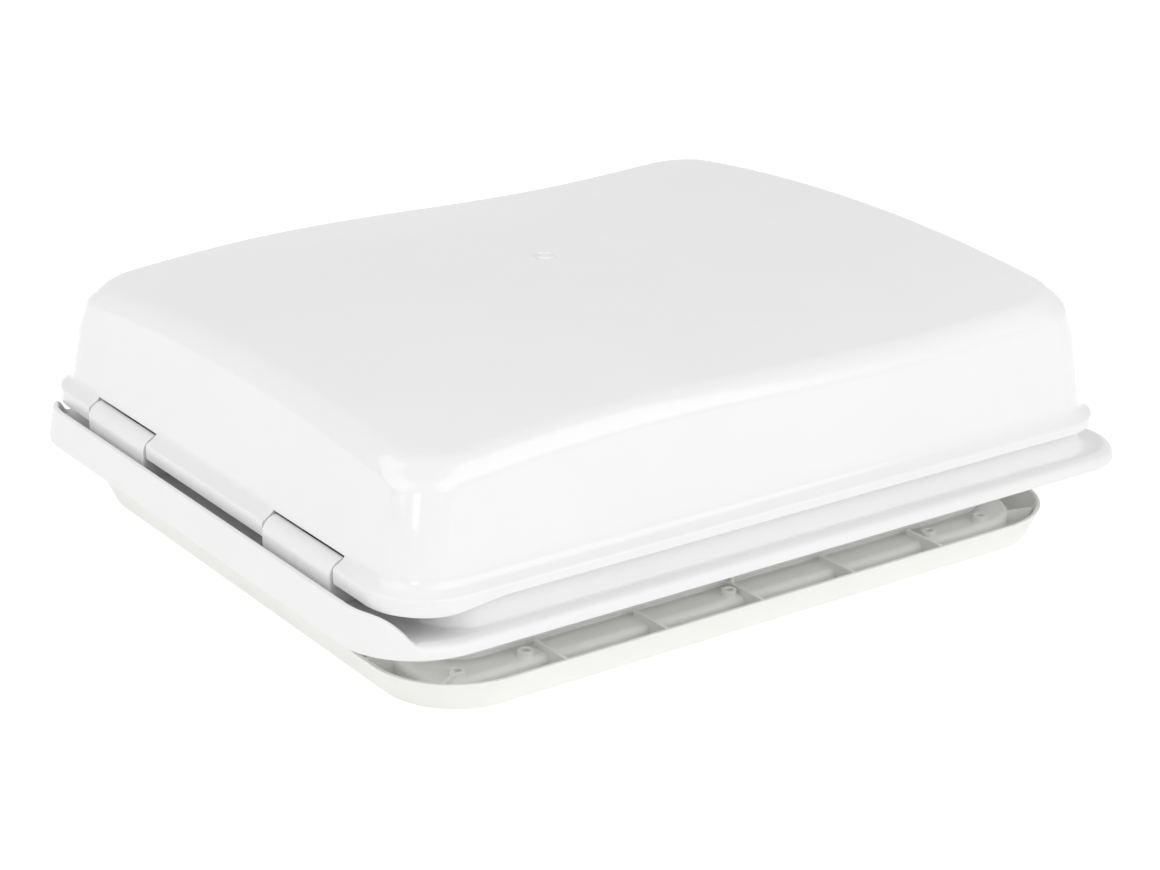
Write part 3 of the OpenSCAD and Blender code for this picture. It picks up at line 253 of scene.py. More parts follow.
def add_node(tree, kind, links=(), values=(), **settings):
    """Adds a node; links are (input, output socket), values are (input, value)."""
    made = tree.nodes.new(kind)
    for name, value in settings.items():
        setattr(made, name, value)
    for name, value in values:
        made.inputs[name].default_value = value
    for name, socket in links:
        tree.links.new(socket, made.inputs[name])
    return made


def clamped(value):
    """Value kept between 0 and 1."""
    return max(0.0, min(1.0, value))


def between(low, high, share):
    """Value at a share of the way from low to high."""
    return low + (high - low) * share


# Meshes


def outline(plan, inset=0.0):
    """Points round a rounded rectangle, set in by a distance; every plan has the same count."""
    x0, x1, half_y, r0, r1 = plan
    corners = ((x1 - r1, half_y - r1, r1), (x0 + r0, half_y - r0, r0), (x0 + r0, r0 - half_y, r0),
               (x1 - r1, r1 - half_y, r1))
    arcs = []
    for q, (cx, cy, r) in enumerate(corners):
        turns = [math.radians(90 * q + 90 * i / ARC_N) for i in range(ARC_N + 1)]
        arcs.append([(cx + (r - inset) * math.cos(a), cy + (r - inset) * math.sin(a)) for a in turns])
    points = []
    for q, arc in enumerate(arcs):
        (ax, ay), (bx, by) = arc[-1], arcs[(q + 1) % 4][0]
        points += arc
        points += [(ax + (bx - ax) * i / SIDE_N, ay + (by - ay) * i / SIDE_N) for i in range(1, SIDE_N)]
    return points


def station(plan, inset, z, rounding=0.0):
    """One corner of a profile carried round a plan; inset, z and rounding may be functions of x."""
    edge = outline(plan)
    inset, z, rounding = ([f(x) if callable(f) else f for x, _ in edge] for f in (inset, z, rounding))
    inward = [(ax - bx, ay - by) for (ax, ay), (bx, by) in zip(outline(plan, 1.0), edge)]
    ring = [Vector((x + dx * i, y + dy * i, h)) for (x, y), (dx, dy), i, h in zip(edge, inward, inset, z)]
    return ring, rounding


def shared(reach, other, length):
    """Length that a corner's rounding takes from a side which it shares with the next corner."""
    return min(reach, length * reach / (reach + other)) if reach else 0.0


def rounded_rows(stations, steps=ROUND_N):
    """Rows of points round a closed profile, with each station's corner rounded off."""
    rows = []
    count = len(stations)
    for k, (ring, rounding) in enumerate(stations):
        if not any(rounding):
            rows.append(ring)
            continue
        before, after = stations[k - 1], stations[(k + 1) % count]
        for s in range(steps + 1):
            t = s / steps
            row = []
            for i, p in enumerate(ring):
                a, b = before[0][i] - p, after[0][i] - p
                start = p + a.normalized() * shared(rounding[i], before[1][i], a.length)
                end = p + b.normalized() * shared(rounding[i], after[1][i], b.length)
                row.append(start * (1 - t) ** 2 + p * 2 * t * (1 - t) + end * t * t)
            rows.append(row)
    return rows


def lofted(rows, loop=False, tips=None):
    """Closed mesh through rows of points: a loop of rows, or rows that end in two tips."""
    bm = bmesh.new()
    rings = [[bm.verts.new(p * MM) for p in row] for row in rows]
    count = len(rings[0])
    pairs = list(zip(rings, rings[1:])) + ([(rings[-1], rings[0])] if loop else [])
    for low, high in pairs:
        for i in range(count):
            j = (i + 1) % count
            bm.faces.new((low[i], low[j], high[j], high[i]))
    for ring, tip in zip((rings[0], rings[-1]), tips or ()):
        top = bm.verts.new(tip * MM)
        for i in range(count):
            bm.faces.new((ring[i], ring[(i + 1) % count], top))
    bmesh.ops.recalc_face_normals(bm, faces=bm.faces)
    return bm


def prism(points, low, high, axis="Z"):
    """Closed prism over a polygon; axis X takes the points as y and z."""
    bm = bmesh.new()
    place = {"Z": lambda a, b, c: (a, b, c), "X": lambda a, b, c: (c, a, b)}[axis]
    ends = [[bm.verts.new(Vector(place(a, b, c)) * MM) for a, b in points] for c in (low, high)]
    bm.faces.new(ends[0][::-1])
    bm.faces.new(ends[1])
    count = len(points)
    for i in range(count):
        j = (i + 1) % count
        bm.faces.new((ends[0][i], ends[0][j], ends[1][j], ends[1][i]))
    bmesh.ops.recalc_face_normals(bm, faces=bm.faces)
    return bm


def turned(profile, steps=TURN_N):
    """Closed ring from a closed profile of (radius, height), turned round Z."""
    bm = bmesh.new()
    rings = []
    for s in range(steps):
        a = 2 * math.pi * s / steps
        rings.append([bm.verts.new(Vector((r * math.cos(a), r * math.sin(a), z)) * MM) for r, z in profile])
    for s in range(steps):
        low, high = rings[s], rings[(s + 1) % steps]
        for i in range(len(profile)):
            j = (i + 1) % len(profile)
            bm.faces.new((low[i], high[i], high[j], low[j]))
    bmesh.ops.recalc_face_normals(bm, faces=bm.faces)
    return bm


def to_object(bm, name):
    """Puts a bmesh in a new object at the origin."""
    mesh = bpy.data.meshes.new(name)
    bm.to_mesh(mesh)
    bm.free()
    made = bpy.data.objects.new(name, mesh)
    bpy.context.scene.collection.objects.link(made)
    return made


def modified(obj, kind, **settings):
    """Adds a modifier with its settings."""
    modifier = obj.modifiers.new(kind.title(), kind)
    for name, value in settings.items():
        setattr(modifier, name, value)
    return modifier


def applied(obj):
    """Turns an object's modifiers into its own plain mesh."""
    bpy.context.view_layer.update()
    evaluated = obj.evaluated_get(bpy.context.evaluated_depsgraph_get())
    mesh = bpy.data.meshes.new_from_object(evaluated)
    obj.modifiers.clear()
    old, obj.data = obj.data, mesh
    bpy.data.meshes.remove(old)
    return obj


def cut(obj, bm):
    """Cuts another shape from an object."""
    tool = to_object(bm, "cutter")
    modified(obj, "BOOLEAN", operation="DIFFERENCE", solver="EXACT", object=tool)
    applied(obj)
    bpy.data.objects.remove(tool)


def bevelled(obj, width, angle):
    """Rounds the edges of an object that are sharper than an angle."""
    modified(obj, "BEVEL", width=width, segments=2, limit_method="ANGLE", angle_limit=math.radians(angle))
    return applied(obj)


def smoothed(obj, angle=32.0):
    """Smooth shading that keeps flat faces flat and sharp edges sharp."""
    obj.data.shade_smooth()
    obj.data.set_sharp_from_angle(angle=math.radians(angle))
    modified(obj, "WEIGHTED_NORMAL", keep_sharp=True, weight=60)
    return applied(obj)


FINISH = {}


def finished(obj, body, slot, *nodes):
    """Gives a piece the material of its slot, sets it on its body and hides the imported nodes that it stands
    for.
    """
    obj.data.materials.clear()
    obj.data.materials.append(FINISH[slot])
    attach(obj, body)
    if nodes:
        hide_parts(*nodes)


def rounded_copy(node, name, rounding):
    """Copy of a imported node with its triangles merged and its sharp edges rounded."""
    bm = bmesh.new()
    bm.from_mesh(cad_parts[node].data)
    bmesh.ops.remove_doubles(bm, verts=bm.verts, dist=MERGE_GAP * MM)
    bmesh.ops.dissolve_limit(bm, angle_limit=math.radians(FLAT_ANGLE), verts=bm.verts, edges=bm.edges)
    return smoothed(bevelled(to_object(bm, name), rounding, SHARP_ANGLE))


# Materials


def new_material(name):
    """Empty material with its output and main shader; also gives the place of each point."""
    material = bpy.data.materials.new(name)
    material.use_nodes = True
    tree = material.node_tree
    tree.nodes.clear()
    shader = add_node(tree, "ShaderNodeBsdfPrincipled")
    add_node(tree, "ShaderNodeOutputMaterial", links=[("Surface", shader.outputs["BSDF"])])
    return material, tree, shader, add_node(tree, "ShaderNodeTexCoord").outputs["Object"]


def uneven(tree, shader, clouds, colours, wear, rough):
    """Spreads a shader's colour between two colours by one pattern, and its roughness by another."""
    tint = add_node(tree, "ShaderNodeMix", data_type="RGBA")
    tint.inputs[6].default_value, tint.inputs[7].default_value = colours
    tree.links.new(clouds, tint.inputs[0])
    tree.links.new(tint.outputs[2], shader.inputs["Base Color"])
    gloss = add_node(tree, "ShaderNodeMapRange", [("Value", wear)], [
        ("From Min", NOISE_LOW), ("From Max", NOISE_HIGH), ("To Min", rough[0]), ("To Max", rough[1])])
    tree.links.new(gloss.outputs["Result"], shader.inputs["Roughness"])


def moulded_plastic(name, colour, rough, ripple_size, ripple, grain_size, grain, shade):
    """Moulded plastic: flow marks in the colour, uneven gloss and a faint ripple from the tool."""
    material, tree, shader, place = new_material(name)
    patterns = []
    for size, detail in ((FLOW_SIZE, 3), (WEAR_SIZE, 4), (ripple_size, 1), (grain_size, 2)):
        values = [("Scale", 1 / (size * MM)), ("Detail", detail)]
        patterns.append(add_node(tree, "ShaderNodeTexNoise", [("Vector", place)], values).outputs["Fac"])
    flow, wear, wave, fine = patterns
    dark = [c * (1 - shade) for c in colour[:3]] + [1]
    uneven(tree, shader, flow, (dark, colour), wear, (rough * GLOSS_LOW, rough * GLOSS_HIGH))
    first = add_node(tree, "ShaderNodeBump", [("Height", wave)],
                     [("Strength", ripple), ("Distance", RIPPLE_DEEP * MM)])
    second = add_node(tree, "ShaderNodeBump", [("Height", fine), ("Normal", first.outputs["Normal"])],
                      [("Strength", grain), ("Distance", GRAIN_DEEP * MM)])
    tree.links.new(second.outputs["Normal"], shader.inputs["Normal"])
    shader.inputs["IOR"].default_value = PLASTIC_IOR
    return material


def plated_steel():
    """Zinc plated steel: a bright metal with fine drawn lines and cloudy plating."""
    material, tree, shader, place = new_material("Zinc plated steel")
    cloud = add_node(tree, "ShaderNodeTexNoise", [("Vector", place)],
                     [("Scale", 1 / (CLOUD_SIZE * MM)), ("Detail", 4)])
    drawn = add_node(tree, "ShaderNodeMapping", [("Vector", place)], [("Scale", (1, DRAWN_STRETCH, 1))])
    lines = add_node(tree, "ShaderNodeTexNoise", [("Vector", drawn.outputs["Vector"])],
                     [("Scale", 1 / (DRAWN_SIZE * MM))])
    colours = [linear(c) for c in STEEL_COLOURS]
    uneven(tree, shader, cloud.outputs["Fac"], colours, lines.outputs["Fac"], STEEL_ROUGH)
    bump = add_node(tree, "ShaderNodeBump", [("Height", lines.outputs["Fac"])],
                    [("Strength", DRAWN_BUMP), ("Distance", GRAIN_DEEP * MM)])
    tree.links.new(bump.outputs["Normal"], shader.inputs["Normal"])
    shader.inputs["Metallic"].default_value = 1.0
    return material


def make_materials():
    """Makes all finishes of the vent, by slot."""
    colours = bpy.context.scene.vent_colours
    for slot, (name, colour, *sizes) in MOULDED.items():
        colour = linear(colour) if colour.startswith("#") else list(getattr(colours, colour))
        FINISH[slot] = moulded_plastic(name, colour, *sizes)
    FINISH["plated_steel"] = plated_steel()


# Geometry Nodes


def new_tree(name, inputs):
    """Geometry tree with named inputs; returns the tree, its input sockets and its output node."""
    tree = bpy.data.node_groups.new(name, "GeometryNodeTree")
    tree.interface.new_socket(name="Geometry", in_out="OUTPUT", socket_type="NodeSocketGeometry")
    for label, kind in inputs:
        tree.interface.new_socket(name=label, in_out="INPUT", socket_type="NodeSocket" + kind)
    return tree, add_node(tree, "NodeGroupInput").outputs, add_node(tree, "NodeGroupOutput")


def finish_tree(tree, out, socket, given):
    """Ends a tree in Realize Instances and Set Material."""
    real = add_node(tree, "GeometryNodeRealizeInstances", [("Geometry", socket)])
    done = add_node(tree, "GeometryNodeSetMaterial", [
        ("Geometry", real.outputs[0]), ("Material", given["Material"])])
    tree.links.new(done.outputs[0], out.inputs[0])
    return tree


def run_tree(tree, name, values, points=()):
    """Runs a tree on a set of points and keeps the result as a plain mesh."""
    mesh = bpy.data.meshes.new(name)
    mesh.from_pydata([Vector(p) * MM for p, _ in points], [], [])
    turn = mesh.attributes.new("turn", "FLOAT_VECTOR", "POINT")
    for i, (_, angles) in enumerate(points):
        turn.data[i].vector = angles
    made = bpy.data.objects.new(name, mesh)
    bpy.context.scene.collection.objects.link(made)
    modifier = made.modifiers.new("Nodes", "NODES")
    modifier.node_group = tree
    sockets = {s.name: s.identifier for s in tree.interface.items_tree if s.in_out == "INPUT"}
    for label, value in values.items():
        modifier[sockets[label]] = value
    return applied(made)


def copies_tree():
    """Sets one shape on every point, turned by the point's own angles."""
    tree, given, out = new_tree("Copies on points", [
        ("Points", "Geometry"), ("Shape", "Object"), ("Size", "Float"), ("Material", "Material")])
    shape = add_node(tree, "GeometryNodeObjectInfo", [("Object", given["Shape"])])
    angles = add_node(tree, "GeometryNodeInputNamedAttribute", [], [("Name", "turn")],
                      data_type="FLOAT_VECTOR")
    turns = add_node(tree, "FunctionNodeEulerToRotation", [("Euler", angles.outputs[0])])
    size = add_node(tree, "ShaderNodeCombineXYZ", [(axis, given["Size"]) for axis in "XYZ"])
    placed = add_node(tree, "GeometryNodeInstanceOnPoints", [
        ("Points", given["Points"]), ("Instance", shape.outputs["Geometry"]),
        ("Rotation", turns.outputs[0]), ("Scale", size.outputs[0])])
    return finish_tree(tree, out, placed.outputs[0], given)


def rib_tree():
    """Two rows of ribs, one on each long side; the far row is turned half round."""
    tree, given, out = new_tree("Rib rows", [
        ("Rib", "Object"), ("Count", "Int"), ("Pitch", "Float"), ("First", "Float"),
        ("Material", "Material")])
    shape = add_node(tree, "GeometryNodeObjectInfo", [("Object", given["Rib"])])
    first, step = (add_node(tree, "ShaderNodeCombineXYZ", [("X", given[label])]).outputs[0]
                   for label in ("First", "Pitch"))
    line = add_node(tree, "GeometryNodeMeshLine", [
        ("Count", given["Count"]), ("Start Location", first), ("Offset", step)])
    both = add_node(tree, "GeometryNodeJoinGeometry")
    for half_turn in (0.0, math.pi):
        row = add_node(tree, "GeometryNodeInstanceOnPoints", [
            ("Points", line.outputs[0]), ("Instance", shape.outputs["Geometry"])],
            [("Rotation", (0, 0, half_turn))])
        tree.links.new(row.outputs[0], both.inputs[0])
    return finish_tree(tree, out, both.outputs[0], given)


def net_tree():
    """Plain net: two sets of strands, cut away round the crank's hole."""
    tree, given, out = new_tree("Flynet", [
        ("Width", "Float"), ("Depth", "Float"), ("Pitch", "Float"), ("Strand", "Float"),
        ("Height", "Float"), ("Hole X", "Float"), ("Hole Radius", "Float"), ("Material", "Material")])
    both = add_node(tree, "GeometryNodeJoinGeometry")
    width, depth, height = given["Width"], given["Depth"], given["Height"]
    for along, length, across, spread in (("X", width, "Y", depth), ("Y", depth, "X", width)):
        ends = []
        for axis, reach, lift in ((along, length, []), (across, spread, [("Z", height)])):
            for half in (-0.5, 0.5):
                side = add_node(tree, "ShaderNodeMath", [(0, reach)], [(1, half)], operation="MULTIPLY")
                end = add_node(tree, "ShaderNodeCombineXYZ", [(axis, side.outputs[0]), *lift])
                ends.append(end.outputs[0])
        back, front, low, high = ends
        strand = add_node(tree, "GeometryNodeMeshLine", [("Start Location", back), ("Offset", front)],
                          [("Count", STRAND_POINTS)], mode="END_POINTS")
        count = add_node(tree, "ShaderNodeMath", [(0, spread), (1, given["Pitch"])], operation="DIVIDE")
        rows = add_node(tree, "GeometryNodeMeshLine", [
            ("Count", count.outputs[0]), ("Start Location", low), ("Offset", high)], mode="END_POINTS")
        placed = add_node(tree, "GeometryNodeInstanceOnPoints", [
            ("Points", rows.outputs[0]), ("Instance", strand.outputs[0])])
        tree.links.new(placed.outputs[0], both.inputs[0])
    strands = add_node(tree, "GeometryNodeRealizeInstances", [("Geometry", both.outputs[0])])
    middle = add_node(tree, "ShaderNodeCombineXYZ", [("X", given["Hole X"]), ("Z", height)])
    spot = add_node(tree, "GeometryNodeInputPosition")
    reach = add_node(tree, "ShaderNodeVectorMath", [(0, spot.outputs[0]), (1, middle.outputs[0])],
                     operation="DISTANCE")
    inside = add_node(tree, "FunctionNodeCompare", [
        ("A", reach.outputs["Value"]), ("B", given["Hole Radius"])], operation="LESS_THAN")
    kept = add_node(tree, "GeometryNodeDeleteGeometry", [
        ("Geometry", strands.outputs[0]), ("Selection", inside.outputs[0])])
    lines = add_node(tree, "GeometryNodeMeshToCurve", [("Mesh", kept.outputs[0])])
    radius = add_node(tree, "ShaderNodeMath", [(0, given["Strand"])], [(1, 0.5)], operation="MULTIPLY")
    section = add_node(tree, "GeometryNodeCurvePrimitiveCircle", [("Radius", radius.outputs[0])],
                       [("Resolution", 4)])
    woven = add_node(tree, "GeometryNodeCurveToMesh", [
        ("Curve", lines.outputs[0]), ("Profile Curve", section.outputs[0])], [("Fill Caps", True)])
    return finish_tree(tree, out, woven.outputs[0], given)


# Dome


def dome_top(x, y):
    """Height of the dome's top: a rise, a long wave and a crown both ways."""
    u = (x - DOME_PLAN[0] - TOP_IN_HINGE) / (DOME_PLAN[1] - DOME_PLAN[0] - TOP_IN_HINGE - TOP_IN)
    v = y / (DOME_PLAN[2] - TOP_IN)
    wave = TOP_RISE * (u - 0.5) - TOP_WAVE * math.sin(2 * math.pi * (u - 0.5))
    return TOP_Z + wave - CROWN_X * (2 * u - 1) ** 2 - CROWN_Y * v * v


def rim_low(x):
    """Lower edge of the rim, which dips towards the hinge."""
    t = clamped((DOME_PLAN[0] + DIP_FROM - x) / DIP_LEN)
    return RIM_Z - RIM_DIP * t * t * (3 - 2 * t)


def through(points, steps):
    """Smooth line through (inset, height) points."""
    line = []
    last = len(points) - 1
    for k in range(last):
        p0, p1, p2, p3 = (points[max(0, min(last, k + d))] for d in (-1, 0, 1, 2))
        for s in range(steps):
            t = s / steps
            line.append(tuple(0.5 * (2 * b + (c - a) * t + (2 * a - 5 * b + 4 * c - d) * t * t
                                     + (3 * b - a - 3 * c + d) * t ** 3)
                              for a, b, c, d in zip(p0, p1, p2, p3)))
    return line + [points[-1]]


def dome_ring(inset, wall):
    """Outline of the dome at an inset and a depth in its wall, with softer corners towards the top."""
    radius = CORNER_R + CORNER_SOFT * clamped((inset - wall - SOFT_FROM) / SOFT_LEN)
    return outline((*DOME_PLAN[:3], radius, radius), inset)


def dome_rows(shoulder, steps, wall):
    """Rows of the dome's skin at a depth in its wall, from the shoulder to the top, and the tip."""
    wall_in, edge_r, flat_in = WALL_IN + wall, DOME_EDGE_R - wall, EDGE_IN + DOME_EDGE_R
    line = through([(wall + inset, LIP_Z + up) for inset, up in shoulder] + [(wall_in, WALL_LOW)], steps)
    rows = [[Vector((x, y, z)) for x, y in outline(DOME_PLAN, inset)] for inset, z in line]
    for share in (0.25, 0.5, 0.75):
        ring = dome_ring(between(wall_in, flat_in - edge_r, share), wall)
        rows.append([Vector((x, y, between(WALL_LOW, dome_top(x, y) - wall - edge_r, share)))
                     for x, y in ring])
    for k in range(DOME_EDGE_N + 1):
        a = math.pi / 2 * k / DOME_EDGE_N
        ring = dome_ring(flat_in - edge_r * math.cos(a), wall)
        rows.append([Vector((x, y, dome_top(x, y) - wall - edge_r * (1 - math.sin(a)))) for x, y in ring])
    middle = (DOME_PLAN[0] + DOME_PLAN[1]) / 2
    for k in range(1, DOME_TOP_N):
        share = 1 - k / DOME_TOP_N
        ring = [(between(middle, x, share), y * share) for x, y in dome_ring(flat_in, wall)]
        rows.append([Vector((x, y, dome_top(x, y) - wall)) for x, y in ring])
    return rows, Vector((middle, 0, dome_top(middle, 0) - wall))


class VENT_OT_dome(bpy.types.Operator):
    """Makes the dome: one gloss shell with a rolled rim, notches for the hinges and a gate mark."""

    bl_idname = "vent.dome"
    bl_label = "Dome"

    def execute(self, context):
        out_rows, out_tip = dome_rows(SHOULDER_OUT, OUT_N, 0.0)
        in_rows, in_tip = dome_rows(SHOULDER_IN, IN_N, DOME_T)
        roll = [(DOME_T - inset, up) for inset, up in reversed(RIM_ROLL)] + list(RIM_ROLL)
        edge = [station(DOME_PLAN, inset, lambda x, up=up: rim_low(x) + up)[0] for inset, up in roll]
        rows = in_rows[::-1] + edge + out_rows
        dome = to_object(lofted(rows, tips=(in_tip, out_tip)), "dome_moulding")
        low_x, high_x = DOME_PLAN[0] - NOTCH_OUT, DOME_PLAN[0] + NOTCH_DEEP
        for side in (-1, 1):
            low_y, high_y = side * HINGE_Y - NOTCH_W / 2, side * HINGE_Y + NOTCH_W / 2
            corners = [(low_x, low_y), (high_x, low_y), (high_x, high_y), (low_x, high_y)]
            cut(dome, prism(corners, RIM_Z - NOTCH_DOWN, NOTCH_TOP))
        finished(smoothed(dome, 38), "dome", "dome_plastic", "dome_shell")
        ring = turned(GATE_SECTION, GATE_N)
        for vert in ring.verts:
            x, y = vert.co.x / MM + GATE_X, vert.co.y / MM + GATE_Y
            vert.co = Vector((x, y, vert.co.z / MM + dome_top(x, y))) * MM
        finished(smoothed(to_object(ring, "dome_gate_mark"), 60), "dome", "dome_plastic")
        return {"FINISHED"}


# Roof frame


def swoop(x):
    """Height above the roof of the line that the rail's end follows."""
    u = clamped((x - FLANGE_PLAN[0] - SWOOP_IN) / SWOOP_LEN)
    return EDGE_LOW + (RAIL_H - EDGE_LOW) * (1 - u * u)


def rail_share(x):
    """Share of the full rail at x: 1 on the rail, 0 where only the flange's rounded edge is left."""
    return min(1.0, (swoop(x) - EDGE_LOW) / EDGE_R)


def edge_top(x):
    """Height above the roof of the rail, or of the plain flange."""
    return max(swoop(x), FLANGE_H)


def rail_lean(x):
    """How far the flange's upper edge is set in: the rail leans, the plain edge does not."""
    return RAIL_LEAN * edge_top(x) * rail_share(x)


def foot_round(x):
    """Rounding at the coaming's foot: small by the hinges, wide elsewhere."""
    return between(FOOT_R, FOOT_R_WIDE, clamped((x - COAMING_PLAN[0] - FOOT_FROM) / FOOT_LEN))


class VENT_OT_roof_frame(bpy.types.Operator):
    """Makes the roof frame: rounded flange with the hinge rail, coaming and spigot in one moulding."""

    bl_idname = "vent.roof_frame"
    bl_label = "Roof frame"

    def execute(self, context):
        soft = context.scene.vent_sizes.edge_round / MM
        stations = [
            station(FLANGE_PLAN, 0.0, FLANGE_Z, BED_ROUND),
            station(FLANGE_PLAN, rail_lean,
                    lambda x: FLANGE_Z + edge_top(x) - EDGE_FALL * (1 - rail_share(x)),
                    lambda x: between(soft, EDGE_R, 1 - rail_share(x))),
            station(FLANGE_PLAN, lambda x: rail_lean(x) + between(EDGE_W, RAIL_T, rail_share(x)),
                    lambda x: FLANGE_Z + edge_top(x), lambda x: soft * rail_share(x)),
            station(FLANGE_PLAN, lambda x: between(EDGE_FOOT, RAIL_FOOT, rail_share(x)), FLOOR_Z,
                    lambda x: FRAME_FILLET * rail_share(x)),
            station(COAMING_PLAN, 0.0, FLOOR_Z, foot_round),
            station(COAMING_PLAN, 0.0, COAMING_TOP, soft),
            station(COAMING_PLAN, SPIGOT_T, COAMING_TOP, soft),
            station(COAMING_PLAN, SPIGOT_T, FLOOR_Z, FRAME_FILLET),
            station(SPIGOT_PLAN, SPIGOT_T, FLOOR_Z, SPIGOT_FILLET),
            station(SPIGOT_PLAN, SPIGOT_T, SPIGOT_LOW, soft),
            station(SPIGOT_PLAN, 0.0, SPIGOT_LOW, soft),
            station(SPIGOT_PLAN, 0.0, FLOOR_Z - FLANGE_T, SPIGOT_FILLET),
            station(FLANGE_PLAN, LAND_W, FLOOR_Z - FLANGE_T, SPIGOT_FILLET),
            station(FLANGE_PLAN, LAND_W, FLANGE_Z, LAND_ROUND),
        ]
        shell = to_object(lofted(rounded_rows(stations), loop=True), "roof_frame_moulding")
        finished(smoothed(shell), "root", "frame_plastic", "roof_frame")
        for node in ("hinge_cover_near", "hinge_cover_far"):
            cover = rounded_copy(node, node + "_moulding", COVER_ROUND * MM)
            finished(cover, "root", "frame_plastic", node)
        return {"FINISHED"}


class VENT_OT_seal(bpy.types.Operator):
    """Makes the dome's seal: a rubber section with a soft bulb along the coaming."""

    bl_idname = "vent.seal"
    bl_label = "Dome seal"

    def execute(self, context):
        bulb = SEAL_W / 2
        low, side = SEAL_LOW.z, SEAL_HIGH.z - bulb
        stations = [station(SEAL_PLAN, 0.0, low, SEAL_ROUND), station(SEAL_PLAN, 0.0, side)]
        for k in range(1, BULB_N):
            a = math.pi * k / BULB_N
            stations.append(station(SEAL_PLAN, bulb - bulb * math.cos(a), side + bulb * math.sin(a)))
        stations += [station(SEAL_PLAN, SEAL_W, side), station(SEAL_PLAN, SEAL_W, low, SEAL_ROUND)]
        seal = to_object(lofted(rounded_rows(stations, 2), loop=True), "seal_extrusion")
        finished(smoothed(seal), "root", "seal_rubber", "dome_seal")
        return {"FINISHED"}


# Ceiling trim


